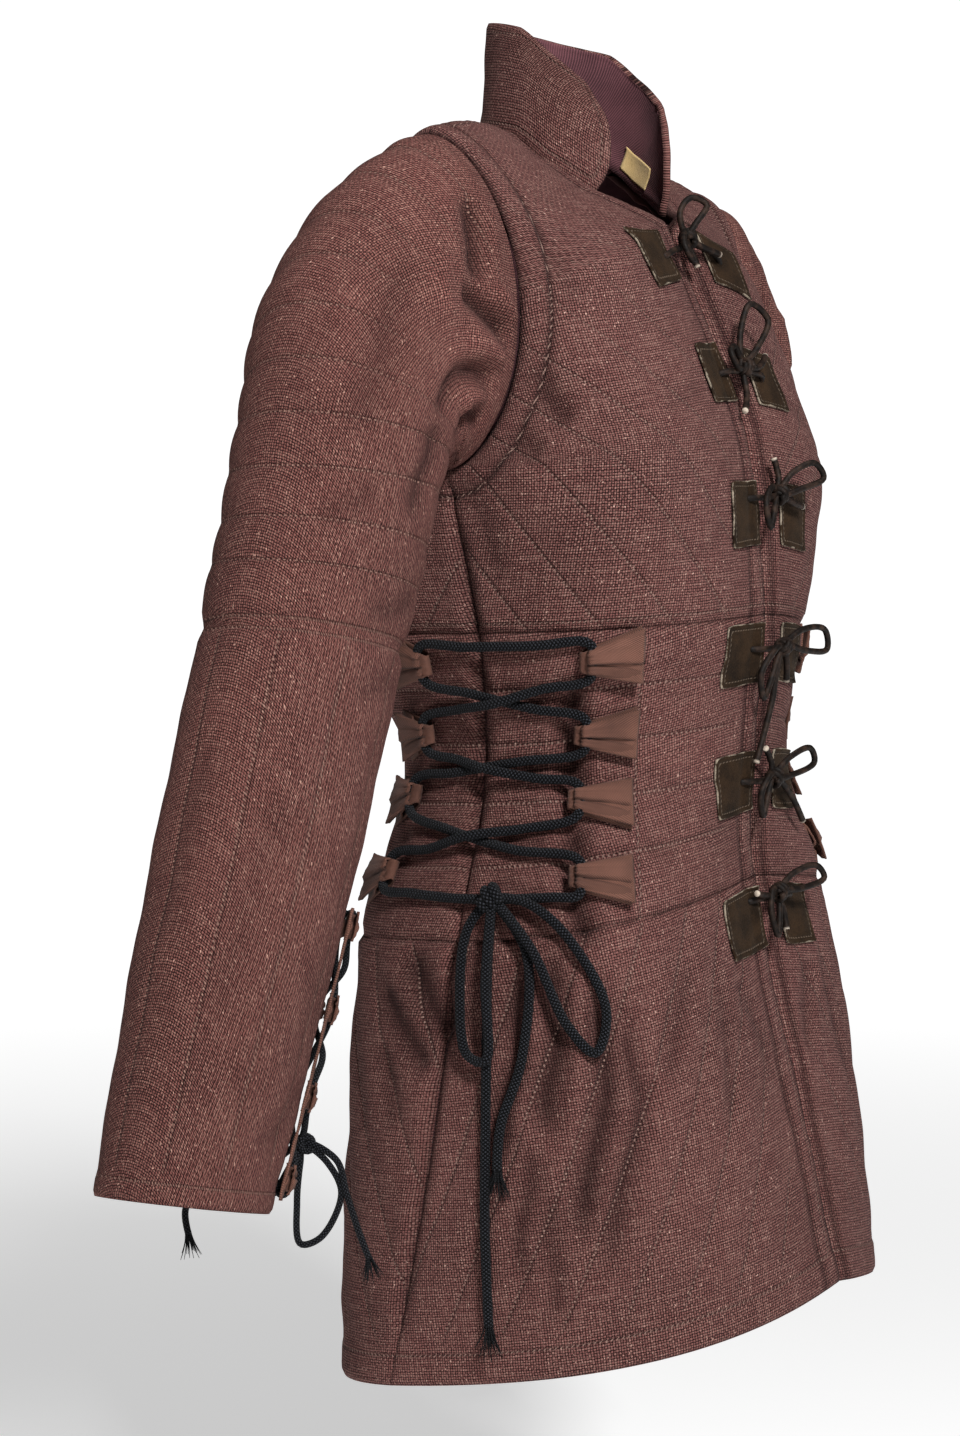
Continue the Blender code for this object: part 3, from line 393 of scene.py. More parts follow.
# %% The left shoulder hangs a little lower
LEFT_DROP = 0.016


def settled(points):
    points = np.array(points, float)
    share = eased(points[..., 0] / 0.16) * eased((points[..., 2] + 0.45) / 0.30)
    points[..., 2] -= LEFT_DROP * share
    return points


print("chest row half width (m):", round(float(coat("front", ARMPIT, 0)[0]), 3))

# %% [markdown]
# ## Finishes
# Every finish is a node recipe at its real scale. The cloth reads the piece's own UV
# map, which is laid out in metres, so one thread is 1.65 mm wide on every panel. The
# quilting reads two attributes: which line of stitches a point is near, and how far
# along that line it lies.

# %% A short way to write node recipes
class Recipe:
    """A material's nodes, written as sums."""

    def __init__(self, name, colour, roughness):
        self.material = bpy.data.materials.new(name)
        self.material.use_nodes = True
        self.tree = self.material.node_tree
        self.shader = self.tree.nodes["Principled BSDF"]
        self.shader.inputs["Base Color"].default_value = (*colour, 1)
        self.shader.inputs["Roughness"].default_value = roughness
        self.material.diffuse_color = (*colour, 1)

    def put(self, socket, value):
        if hasattr(value, "links") or isinstance(value, bpy.types.NodeSocket):
            self.tree.links.new(value, socket)
        elif value is not None:
            socket.default_value = value

    def math(self, operation, a, b=None):
        node = self.tree.nodes.new("ShaderNodeMath")
        node.operation = operation
        for socket, value in zip(node.inputs, (a, b)):
            self.put(socket, value)
        return node.outputs[0]

    def add(self, a, b):
        return self.math("ADD", a, b)

    def times(self, a, b):
        return self.math("MULTIPLY", a, b)

    def less(self, a, b):
        return self.math("SUBTRACT", a, b)

    def within(self, value, low, high):
        """0 below low and 1 above high, smooth between them."""
        node = self.tree.nodes.new("ShaderNodeMapRange")
        node.interpolation_type = "SMOOTHSTEP"
        self.put(node.inputs["Value"], value)
        node.inputs["From Min"].default_value = low
        node.inputs["From Max"].default_value = high
        return node.outputs["Result"]

    def attribute(self, name):
        node = self.tree.nodes.new("ShaderNodeAttribute")
        node.attribute_name = name
        return node.outputs["Fac"]

    def flat(self):
        """Across and along the cloth, in metres."""
        node = self.tree.nodes.new("ShaderNodeUVMap")
        node.uv_map = "UVMap"
        parts = self.tree.nodes.new("ShaderNodeSeparateXYZ")
        self.tree.links.new(node.outputs["UV"], parts.inputs[0])
        return parts.outputs["X"], parts.outputs["Y"]

    def place(self):
        node = self.tree.nodes.new("ShaderNodeTexCoord")
        return node.outputs["Object"]

    def vector(self, x, y, z=0.0):
        node = self.tree.nodes.new("ShaderNodeCombineXYZ")
        for socket, value in zip(node.inputs, (x, y, z)):
            self.put(socket, value)
        return node.outputs[0]

    def noise(self, where, scale, detail, rough=0.5):
        node = self.tree.nodes.new("ShaderNodeTexNoise")
        self.put(node.inputs["Vector"], where)
        node.inputs["Scale"].default_value = scale
        node.inputs["Detail"].default_value = detail
        node.inputs["Roughness"].default_value = rough
        return node.outputs["Fac"]

    def mix(self, share, a, b):
        node = self.tree.nodes.new("ShaderNodeMix")
        node.data_type = "RGBA"
        self.put(node.inputs["Factor"], share)
        for socket, value in ((node.inputs[6], a), (node.inputs[7], b)):
            self.put(socket, value if hasattr(value, "links") else (*value, 1))
        return node.outputs[2]

    def shine(self, level, sheen=0.0, spread=0.5, tint=(1, 1, 1, 1)):
        names = ("Specular IOR Level", "Sheen Weight", "Sheen Roughness", "Sheen Tint")
        for name, value in zip(names, (level, sheen, spread, tint)):
            self.shader.inputs[name].default_value = value

    def finish(self, colour, height, depth, roughness=None):
        self.put(self.shader.inputs["Base Color"], colour)
        if roughness is not None:
            self.put(self.shader.inputs["Roughness"], roughness)
        bump = self.tree.nodes.new("ShaderNodeBump")
        bump.inputs["Distance"].default_value = depth
        self.put(bump.inputs["Height"], height)
        self.tree.links.new(bump.outputs["Normal"], self.shader.inputs["Normal"])
        return self.material


def plain_weave(r, u, v, thread):
    """Two sets of threads, over and under in turn: height 0 to 1, and which is on top."""
    wander = r.noise(r.vector(u, v), 28.0, 1.0)
    x = r.add(r.times(u, math.pi / thread), r.times(wander, 4.0))
    y = r.add(r.times(v, math.pi / thread), r.times(wander, -3.0))
    cell = r.times(r.math("SINE", x), r.math("SINE", y))
    return r.math("POWER", r.math("ABSOLUTE", cell), 0.55), r.within(cell, -0.25, 0.25)


# %% The brown canvas and its rows of stitches
THREAD = 0.00165
STITCH = 0.0034  # one stitch and the gap after it
DARK, MIDDLE, PALE = (0.012, 0.0042, 0.0039), (0.182, 0.0740, 0.0655), (0.52, 0.33, 0.27)


def canvas(name, tint, quilt_pitch=0.0):
    """quilt_pitch is the distance between two lines of stitches."""
    r = Recipe(name, MIDDLE, 0.92)
    u, v = r.flat()
    weave, on_top = plain_weave(r, u, v, THREAD)
    broad = r.noise(r.place(), 9.0, 3.0, 0.6)
    warp = r.noise(r.vector(r.times(u, 700.0), r.times(v, 45.0)), 1.0, 2.0)
    weft = r.noise(r.vector(r.times(u, 45.0), r.times(v, 700.0)), 1.0, 2.0)
    thread = r.add(r.times(warp, on_top), r.times(weft, r.less(1.0, on_top)))
    fleck = r.noise(r.vector(r.times(u, 560.0), r.times(v, 400.0), 3.0), 1.0, 1.0)
    middle = tuple(m * t for m, t in zip(MIDDLE, tint))
    dark = tuple(d * t for d, t in zip(DARK, tint))
    pale = tuple(p * t for p, t in zip(PALE, tint))
    grain = r.within(r.noise(r.vector(u, v, 1.0), 760.0, 0.0), 0.30, 0.70)
    bright = r.add(r.times(weave, 1.00), r.times(thread, 0.50))
    bright = r.add(bright, r.times(r.less(broad, 0.5), 0.45))
    bright = r.add(bright, r.add(r.times(on_top, 0.28), r.times(grain, 0.26)))
    colour = r.mix(r.within(bright, 0.62, 1.50), dark, middle)
    # A painted highlight on the tops of the threads.
    painted_highlight = r.times(r.within(r.add(thread, r.times(grain, 0.12)), 0.54, 0.72), weave)
    colour = r.mix(r.times(painted_highlight, 0.30), colour, pale)
    colour = r.mix(r.times(r.within(fleck, 0.705, 0.735), 0.85), colour, pale)
    # Creases, the front edges and the armhole seams are darkened here as painted shade.
    painted_shade = r.attribute("painted_shade")
    colour = r.mix(r.times(painted_shade, 0.80), colour, dark)
    height = r.add(r.times(weave, 0.75), r.add(r.times(thread, 0.4), r.times(on_top, 0.35)))
    # Rows of stitches sink the cloth, the grooves are darkened as painted shade, and the thread shows as
    # short bars.
    seam = r.math("ABSOLUTE", r.less(r.attribute("edge"), 0.0065))
    groove = r.less(1.0, r.within(seam, 0.0002, 0.0016))
    dash_at = r.times(r.add(u, v), 1 / STITCH)
    thread_at = r.less(1.0, r.within(seam, 0.00045, 0.0008))
    bars = r.within(r.math("ABSOLUTE", r.less(r.math("FRACT", dash_at), 0.5)), 0.12, 0.2)
    line = r.times(thread_at, r.less(1.0, bars))
    if quilt_pitch:
        phase = r.attribute("quilt")
        aside = r.math("ABSOLUTE", r.less(r.math("FRACT", r.add(phase, 0.5)), 0.5))
        aside = r.times(aside, quilt_pitch)
        kept = r.attribute("puff")
        along = r.attribute("dash")
        bars = r.math("ABSOLUTE", r.less(r.math("FRACT", along), 0.5))
        bars = r.less(1.0, r.within(bars, 0.14, 0.22))
        quilted = r.times(r.less(1.0, r.within(aside, 0.0004, 0.0007)), r.times(bars, kept))
        line = r.math("MAXIMUM", line, quilted)
        dip = r.times(r.less(1.0, r.within(aside, 0.0002, 0.0022)), kept)
        groove = r.math("MAXIMUM", groove, dip)
        pucker = r.noise(r.vector(r.times(along, 0.34), r.times(phase, 2.2)), 1.0, 2.0)
        close = r.times(r.less(1.0, r.within(aside, 0.001, 0.011)), kept)
        height = r.add(height, r.times(r.times(pucker, close), 1.8))
    # painted shade in the grooves of the stitch rows
    colour = r.mix(r.times(groove, 0.24), colour, dark)
    colour = r.mix(r.times(line, 0.66), colour, tuple(0.66 * p for p in pale))
    height = r.add(height, r.times(groove, -1.5))
    height = r.add(height, r.times(line, 0.6))
    r.shine(0.12, 0.03, 0.5, (0.55, 0.40, 0.42, 1))
    return r.finish(colour, height, 0.0008)


TINT, SLEEVE_TINT = (1.0, 1.0, 1.0), (1.10, 1.02, 0.98)
BODY_PITCH, WAIST_PITCH, SLEEVE_PITCH = 0.034, 0.030, 0.033
body_canvas = canvas("canvas of the body", TINT, BODY_PITCH)
waist_canvas = canvas("canvas of the waist", TINT, WAIST_PITCH)
sleeve_canvas = canvas("canvas of the sleeves", SLEEVE_TINT, SLEEVE_PITCH)
plain_canvas = canvas("plain canvas", TINT)


# %% The lining, the ribbon and the neck tape
def twill(name, dark, light, rib, roughness, sheen=0.1, painted_shade=False):
    """Fine slanting ribs, as on a woven ribbon or a lining."""
    r = Recipe(name, light, roughness)
    u, v = r.flat()
    wander = r.noise(r.vector(u, v), 120.0, 2.0)
    ribs = r.math("SINE", r.add(r.times(r.add(u, r.times(v, 0.9)), 2 * math.pi / rib), wander))
    ribs = r.add(r.times(ribs, 0.5), 0.5)
    soft = r.noise(r.place(), 35.0, 3.0)
    bright = r.add(r.times(ribs, 0.4), r.times(soft, 0.7))
    colour = r.mix(r.within(bright, 0.2, 0.85), dark, light)
    # The ribbon is darkened in its creases and under its folds, as painted shade.
    if painted_shade:
        colour = r.mix(r.times(r.attribute("painted_shade"), 0.85), colour, dark)
    r.shine(0.25, sheen * 0.3)
    return r.finish(colour, r.add(ribs, soft), 0.00025)


lining_twill = twill("lining twill", (0.040, 0.014, 0.018), (0.150, 0.056, 0.066), 0.0018, 0.85)
ribbon = twill("brown ribbon", (0.030, 0.012, 0.008), (0.185, 0.080, 0.055), 0.0012, 0.75, 0.1, True)
neck_cotton = twill("thin cotton", (0.242, 0.114, 0.110), (0.462, 0.253, 0.238), 0.0009, 0.8)
satin = twill("cream satin", (0.62, 0.40, 0.15), (0.90, 0.68, 0.34), 0.0007, 0.38, 0.3)


# %% Suede with pale cut edges
def suede():
    r = Recipe("suede", (0.035, 0.021, 0.012), 0.9)
    u, v = r.flat()
    place = r.place()
    nap = r.noise(place, 900.0, 3.0, 0.7)
    brushed = r.noise(place, 60.0, 3.0, 0.6)
    bright = r.add(r.times(nap, 0.5), r.times(brushed, 0.7))
    colour = r.mix(r.within(bright, 0.35, 0.95), (0.006, 0.0032, 0.0015), (0.040, 0.021, 0.0095))
    ragged = r.add(r.attribute("edge"), r.times(r.less(nap, 0.5), 0.0016))
    ragged = r.add(ragged, r.times(r.less(r.noise(place, 110.0, 2.0), 0.36), 0.0026))
    rim = r.less(1.0, r.within(ragged, 0.0001, 0.0007))
    colour = r.mix(r.times(rim, 0.75), colour, (0.36, 0.30, 0.23))
    seam = r.math("ABSOLUTE", r.less(r.attribute("edge"), 0.0034))
    bars = r.math("ABSOLUTE", r.less(r.math("FRACT", r.times(r.add(u, v), 1 / 0.0032)), 0.5))
    sewn = r.times(r.less(1.0, r.within(seam, 0.0003, 0.0005)), r.less(1.0, r.within(bars, 0.2, 0.3)))
    colour = r.mix(r.times(sewn, 0.42), colour, (0.20, 0.15, 0.11))
    r.shine(0.12, 0.04, 0.4, (0.5, 0.4, 0.3, 1))
    height = r.add(nap, r.times(r.less(1.0, r.within(seam, 0.0003, 0.0012)), -1.5))
    return r.finish(colour, height, 0.0004)


dark_suede = suede()


# %% The thongs and the braided cord
def thong_leather():
    r = Recipe("leather thong", (0.030, 0.018, 0.013), 0.5)
    place = r.place()
    grain = r.noise(place, 700.0, 3.0, 0.6)
    scuffs = r.noise(place, 160.0, 3.0, 0.6)
    colour = r.mix(r.within(scuffs, 0.4, 0.75), (0.0050, 0.0030, 0.0022), (0.034, 0.019, 0.013))
    colour = r.mix(r.attribute("cut"), colour, (0.50, 0.42, 0.34))
    rough = r.add(0.46, r.times(grain, 0.3))
    r.shine(0.15)
    return r.finish(colour, r.add(grain, scuffs), 0.00025, rough)


def braided_cord():
    """Two sets of strands wound round the cord against each other. V runs along it."""
    r = Recipe("black braid", (0.014, 0.016, 0.022), 0.72)
    u, v = r.flat()
    turns = r.times(u, 6 * math.pi)
    rise = r.times(v, 2 * math.pi / 0.0046)
    cell = r.times(r.math("SINE", r.add(turns, rise)), r.math("SINE", r.less(turns, rise)))
    strands = r.math("POWER", r.math("ABSOLUTE", cell), 0.6)
    fuzz = r.noise(r.place(), 1300.0, 2.0)
    bright = r.add(r.times(strands, 0.8), r.times(fuzz, 0.4))
    colour = r.mix(r.within(bright, 0.62, 1.05), (0.0012, 0.0013, 0.0016), (0.036, 0.038, 0.046))
    r.shine(0.08, 0.03, 0.35)
    return r.finish(colour, r.add(strands, r.times(fuzz, 0.3)), 0.0010)


thong, braid = thong_leather(), braided_cord()
print("materials:", len(bpy.data.materials))

# %% [markdown]
# ## Cords
# A cord is a tube drawn along a smooth line. The line goes through the points that the
# solids follow, and the rings of the tube are carried along it without twisting, so
# that the braid runs straight. Both ends are closed and a little rounded.

# %% A flat net of points, the start of every tube and sheet
def net(name, points, flat):
    """A grid primitive whose points are moved to points[row, column]."""
    rows, columns = points.shape[:2]
    bpy.ops.object.select_all(action="DESELECT")
    bpy.ops.mesh.primitive_grid_add(x_subdivisions=columns - 1, y_subdivisions=rows - 1, size=1)
    made = bpy.context.object
    made.name = made.data.name = name
    mesh = made.data
    if len(mesh.vertices) != rows * columns:
        raise ValueError(f"{name}: {len(mesh.vertices)} points for {rows} x {columns}")
    flat_places = np.empty(len(mesh.vertices) * 3)
    mesh.vertices.foreach_get("co", flat_places)
    flat_places = flat_places.reshape(-1, 3) + 0.5
    column = np.rint(flat_places[:, 0] * (columns - 1)).astype(int)
    row = np.rint(flat_places[:, 1] * (rows - 1)).astype(int)
    mesh.vertices.foreach_set("co", points[row, column].ravel())
    corner = np.empty(len(mesh.loops), int)
    mesh.loops.foreach_get("vertex_index", corner)
    mesh.uv_layers.active.name = "UVMap"
    mesh.uv_layers.active.data.foreach_set("uv", flat[row[corner], column[corner]].ravel())
    mesh.update()
    return made, row, column


def give(made, name, values):
    layer = made.data.attributes.new(name, "FLOAT", "POINT")
    layer.data.foreach_set("value", np.ascontiguousarray(values, float))


def hand_over(made, slot, finish, *nodes):
    """The finish, the body that carries the piece and the solids that it stands for."""
    if finish is not None:
        made.data.materials.append(finish)
    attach(made, BODY)
    if nodes:
        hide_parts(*nodes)
    return made


def smooth_line(points, step):
    """An even line through the points, rounded at each of them."""
    points = np.array(points, float)
    lengths = lengths_along(points)
    # Equal parameter steps overshoot where points stand unevenly, so knots follow lengths.
    knots = np.concatenate([[0], np.sqrt(np.diff(lengths)).cumsum()])
    slopes = np.zeros_like(points)
    spans = np.diff(knots)[:, None]
    rates = np.diff(points, axis=0) / spans
    slopes[1:-1] = (rates[:-1] * spans[1:] + rates[1:] * spans[:-1]) / (spans[:-1] + spans[1:])
    slopes[0], slopes[-1] = 1.5 * rates[0] - slopes[1] / 2, 1.5 * rates[-1] - slopes[-2] / 2
    start, leave, end, arrive = cubic(np.linspace(0, 1, 24, endpoint=False)[:, None])
    line = []
    for k, span in enumerate(spans):
        early = start * points[k] + leave * span * slopes[k]
        line.append(early + end * points[k + 1] + arrive * span * slopes[k + 1])
    line = np.concatenate(line + [points[-1:]])
    lengths = lengths_along(line)
    count = max(int(round(lengths[-1] / step)), 4)
    return at_lengths(line, lengths, np.linspace(0, lengths[-1], count + 1))


def carried_frames(line):
    """Two directions across the line at each point, turned as little as possible."""
    along = unit(np.gradient(line, axis=0))
    first = np.cross(along[0], [0, 0, 1] if abs(along[0][2]) < 0.9 else [1, 0, 0])
    across = [unit(first)]
    for direction in along[1:]:
        across.append(unit(across[-1] - direction * (across[-1] @ direction)))
    across = np.array(across)
    return across, np.cross(along, across)


def tube(name, line, radius, slot, finish, sides=12, taper=0.0, cut=False):
    """A closed tube along a line. radius may be one number or one for each point."""
    line = np.asarray(line, float)
    radii = np.broadcast_to(np.asarray(radius, float), len(line)).copy()
    if taper:
        radii *= 1 - taper * np.linspace(0, 1, len(line))
    a, b = carried_frames(line)
    rings, sizes = [line[0]] + list(line) + [line[-1]], [0] + list(radii) + [0]
    a, b = (np.concatenate([d[:1], d, d[-1:]]) for d in (a, b))
    angle = np.linspace(0, 2 * math.pi, sides + 1)
    rings, sizes = np.array(rings), np.array(sizes)
    cos, sin = np.cos(angle)[None, :, None], np.sin(angle)[None, :, None]
    wheel = cos * a[:, None] + sin * b[:, None]
    points = rings[:, None] + wheel * sizes[:, None, None]
    lengths = lengths_along(rings)
    flat = np.stack(np.meshgrid(np.linspace(0, 1, sides + 1), lengths), axis=-1)
    made, row, _ = net(name, points, flat)
    if cut:
        give(made, "cut", (row >= len(rings) - 2) * 1.0)
    shape = bmesh.new()
    shape.from_mesh(made.data)
    bmesh.ops.remove_doubles(shape, verts=shape.verts, dist=1e-6)
    bmesh.ops.recalc_face_normals(shape, faces=shape.faces)
    shape.to_mesh(made.data)
    shape.free()
    made.data.shade_smooth()
    return hand_over(made, slot, finish)


CORD_LENGTHS = {}
LACE_RADIUS, THONG_RADIUS = 0.003, 0.002
LACE_STEP, THONG_STEP = 0.002, 0.0016


def free_cord(
    name, points, radius, slot, finish, far_end, lay, nodes=(), parts=(), step=LACE_STEP, **more
):
    """A cord drawn smoothly along its route, with its length kept. points are its route."""
    line = settled(smooth_line(points, step))
    made = tube(name, line, radius, slot, finish, **more)
    if nodes:
        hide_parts(*nodes)
    length = float(lengths_along(line)[-1])
    CORD_LENGTHS[name] = round(length, 3)
    return made

# %% [markdown]
# ## Frayed ends and knots
# A cut braid opens into its yarns. Each end is a short brush of tapered strands that
# spread from the cord, drawn at random from one fixed seed. A knot is a short piece of
# the same cord wound about twice over the strands that meet there.

# %% Frayed ends
YARN_RADIUS = 0.00062
yarns = np.random.default_rng(7)


def frayed_end(name, line, radius, length, spread, count):
    """A brush of strands at the end of a line."""
    end = line[-1]
    along = unit(line[-1] - line[-6])
    along = unit(along * 0.6 + np.array([0, 0, -0.4]))
    a = unit(np.cross(along, [1, 0.3, 0.2]))
    b = np.cross(along, a)
    made = []
    for k in range(count):
        angle, reach = yarns.uniform(0, 2 * math.pi), math.sqrt(yarns.uniform(0.02, 1))
        side = a * math.cos(angle) + b * math.sin(angle)
        long = length * yarns.uniform(0.65, 1.1)
        bend = yarns.uniform(-0.25, 0.25)
        t = np.linspace(0, 1, 7)[:, None]
        path = end - along * 0.002 + side * reach * radius * 0.75
        path = path + along * long * t + side * reach * spread * t**1.6
        path = path + np.cross(along, side) * bend * spread * t**2
        made.append(tube(f"{name}_{k}", path, YARN_RADIUS, "braid", braid, sides=4, taper=0.72))
    bpy.ops.object.select_all(action="DESELECT")
    for strand in made:
        strand.select_set(True)
    bpy.context.view_layer.objects.active = made[0]
    bpy.ops.object.join()
    made[0].name = made[0].data.name = name
    return hand_over(made[0], "braid", None)


# %% Knots
def wound_knot(name, centre, axis, radius, wide, slot, finish, turns=2.2, slip=0.9, depth=0.8):
    """Cord wound round an axis, each turn beside the last."""
    axis = unit(np.asarray(axis, float))
    a = unit(np.cross(axis, [0.3, 0.2, 1.0]))
    b = np.cross(axis, a)
    t = np.linspace(0, 1, 40)[:, None]
    angle = 2 * math.pi * turns * t
    swell = wide * (1 - 0.12 * np.cos(2 * angle))
    line = centre + a * np.cos(angle) * swell + b * np.sin(angle) * swell * depth
    line = line + axis * (t - 0.5) * 2 * radius * turns * slip
    return tube(name, line, radius, slot, finish, sides=10)


# %% [markdown]
# ## The ribbon loops of the side lacing
# Each loop is a piece of ribbon folded over the lace and sewn down behind its fold. It
# is narrow where it is gathered round the lace and wide at its sewn end, so it creases
# from the fold to the seam.

# %% Where the loops are
Tab = namedtuple("Tab", "tip_row tip_turn base_row base_turn base_width")
FRONT_TABS = [
    Tab(3.82, 0.31, 3.84, 0.47, 0.034),
    Tab(3.27, 0.30, 3.25, 0.47, 0.034),
    Tab(2.78, 0.29, 2.72, 0.46, 0.034),
    Tab(2.28, 0.30, 2.22, 0.45, 0.030),
]
BACK_TABS = [
    Tab(3.82, -0.14, 3.84, -0.28, 0.034),
    Tab(3.30, -0.17, 3.28, -0.32, 0.034),
    Tab(2.85, -0.23, 2.80, -0.38, 0.034),
    Tab(2.36, -0.25, 2.30, -0.39, 0.030),
]
TIP_WIDTH, RIBBON_WALL = 0.012, 0.0013
# The middle of the ribbon seen from its side: distance from the tip and height, in mm.
FOLD = (
    (1.0, 5.6), (0.62, 7.4), (14.0, 10.4), (8.2, 11.8), (5.6, 12.5), (3.2, 12.2), (1.0, 10.9),
    (-0.3, 8.6), (0.4, 6.2), (2.2, 4.6), (4.4, 4.2), (9.0, 4.2), (14.0, 4.3), (0.66, 4.3), (1.0, 4.3),
)
EYE = (0.005, 0.0082)
EYE_REACH = 0.0105


def row_height(place, row, turn):
    low, high = place(row - 0.05, turn)[0], place(row + 0.05, turn)[0]
    return float(np.linalg.norm(high - low)) / 0.1


def tip_to_base(place, tab):
    """Where the folded end and the sewn end of a loop lie, and how far apart."""
    tip, base = np.array([tab.tip_row, tab.tip_turn]), np.array([tab.base_row, tab.base_turn])
    return tip, base, np.linalg.norm(place(*base)[0] - place(*tip)[0])


def eye_of(place, tab, size):
    tip, base, length = tip_to_base(place, tab)
    return tip + (base - tip) * EYE[0] * size / length


def lifted(place, row, turn, lift):
    point, outward = place(row, turn)
    return point + outward * lift


def ribbon_loop(place, tab, size):
    """One folded ribbon, gathered across its width."""
    tip, base, length = tip_to_base(place, tab)
    high = row_height(place, *tip)
    profile = []
    for distance, height in FOLD:
        share = distance if 0.6 < distance <= 1.0 else distance * size / 1000 / length
        if distance == 14.0 and size < 1:
            share = 0.5
        profile.append((share * length, height * size / 1000, 0))
    lengths = lengths_along(np.array(profile))
    fine = smooth_line(profile, 0.0016 * size)
    widths = np.linspace(-1, 1, 21 if size == 1 else 11)
    points = np.zeros((len(fine), len(widths), 3))
    painted_shade = np.zeros(points.shape[:2])
    for i, (distance, height, _) in enumerate(fine):
        share = distance / length
        row, turn = tip + (base - tip) * share
        half = (TIP_WIDTH * size + (tab.base_width - TIP_WIDTH * size) * max(share, 0)) / 2
        outer = i < 0.45 * len(fine)
        for j, w in enumerate(widths):
            # The lower half of the upper layer is folded over, and both halves are gathered.
            split = 0.02 - 0.30 * share
            upper = min(max((w - split) / 0.10, 0), 1)
            step = (2.4 * upper * (1 - 0.75 * max(w - split, 0)) - 0.3) * outer * (0.4 + 0.6 * share)
            crease = -1.2 * math.exp(-(((w - split + 0.05) / 0.12) ** 2)) * outer
            gather = 0.85 * math.sin(9 * w + 1.3) * math.exp(-share * 2.4)
            gather += 0.50 * math.sin(17 * w + 4.0 * share + 0.5) * math.exp(-share * 1.4)
            height_here = height + (step + crease + gather * (1 if outer else 0.2)) * size / 1000
            fall = 0.0016 * size * w**4 * outer
            point, outward = place(row + w * half / high, turn)
            points[i, j] = point + outward * (height_here - fall)
            # painted shade in the crease and on the half folded under
            painted_shade[i, j] = min(1.0, max(0.0, -crease) + 0.35 * (1 - upper) * outer)
    u = np.linspace(0, lengths[-1], len(fine))
    flat = np.stack(np.meshgrid(widths * 0.017 * size, u), axis=-1)
    return settled(points), flat, painted_shade


def add_loop(name, place, tab, size, nodes):
    points, flat, painted_shade = ribbon_loop(place, tab, size)
    across, along = points[1, 0] - points[0, 0], points[0, 1] - points[0, 0]
    outward = place(tab.base_row, tab.base_turn)[1]
    if np.cross(along, across) @ outward < 0:
        points, flat, painted_shade = points[:, ::-1], flat[:, ::-1], painted_shade[:, ::-1]
    made, row, column = net(name, points, flat)
    give(made, "painted_shade", painted_shade[row, column])
    thicken(made, RIBBON_WALL * size, 0)
    made.data.shade_smooth()
    hand_over(made, "tape", ribbon, *nodes)
    cut_length = float(lengths_along(points[:, points.shape[1] // 2])[-1])
    # A folded ribbon is one flat strip twice as long as the loop that shows.
    return made


def thicken(made, thickness, offset, inner_slot=0):
    solid = made.modifiers.new("thickness", "SOLIDIFY")
    solid.thickness = thickness
    solid.offset = offset
    solid.use_even_offset = False
    solid.material_offset = inner_slot
    bpy.context.view_layer.objects.active = made
    bpy.ops.object.modifier_apply(modifier="thickness")


# %% [markdown]
# ## The route of a lace
# From its knot the lace goes up through one loop on each side in turn, across the top
# and down through the others, so it crosses itself once between each pair of loops.
# It ends in the knot again. The bow below it is two more strands from the same knot.

# %% The route through the loops
def lacing(place, fronts, backs, knot, size, run_lift, over_lift, upward):
    count = len(fronts)
    up = [(fronts, backs)[k % 2][count - 1 - k] for k in range(count)]
    down = [(fronts, backs)[k % 2][k] for k in range(count)]
    stops = [(tab, upward) for tab in up] + [(tab, -upward) for tab in down]
    path = [lifted(place, *knot, run_lift)]
    last = np.array(knot)
    for number, (tab, way) in enumerate(stops):
        eye = eye_of(place, tab, size)
        reach = EYE_REACH * size / row_height(place, *eye)
        start = eye - [way * reach, 0]
        over = count < number < 2 * count
        if number == 0 and upward < 0:
            path.append(lifted(place, start[0], knot[1], run_lift))
        else:
            path += leg(place, last, start, run_lift, over_lift if over else run_lift, size)
        path += [lifted(place, eye[0] + way * s, eye[1], EYE[1] * size) for s in (-reach, reach)]
        last = eye + [way * reach, 0]
    if upward < 0:
        path.append(lifted(place, last[0], knot[1], run_lift))
    else:
        path += leg(place, last, np.array(knot), run_lift, run_lift, size)
    return path + [lifted(place, *knot, run_lift)]


def leg(place, start, end, run_lift, over_lift, size):
    shares, lifts = (0.5,), (over_lift,)
    if size == 1:
        shares, lifts = (0.3, 0.7), (run_lift, run_lift)
    if over_lift > run_lift and size == 1:
        shares, lifts = (0.24, 0.5, 0.76), (run_lift, over_lift, run_lift)
    return [lifted(place, *(start + (end - start) * t), lift) for t, lift in zip(shares, lifts)]


# %% The side laces and their bows
SIDE_KNOT = (2.20, 0.11)
LOOP_BACK = (
    (2.05, 0.055, 0.010), (1.75, 0.055, 0.010), (1.48, 0.09, 0.010), (1.45, 0.14, 0.012),
    (1.80, 0.125, 0.014), (2.20, 0.115, 0.010),
)
LOOP_FRONT = (
    (2.16, 0.20, 0.010), (1.98, 0.295, 0.009), (1.62, 0.385, 0.008), (1.45, 0.365, 0.008),
    (1.58, 0.305, 0.009), (1.92, 0.225, 0.012), (2.18, 0.13, 0.012),
)
SHORT_TAIL = ((1.92, 0.205, 0.0066), (1.45, 0.212, 0.0062), (1.17, 0.178, 0.0062), (0.98, 0.180, 0.0062))
LONG_TAIL = (
    (1.90, 0.110, 0.0062), (1.55, 0.127, 0.0062), (1.15, 0.146, 0.0062), (0.75, 0.166, 0.0062),
    (0.28, 0.198, 0.0062),
)


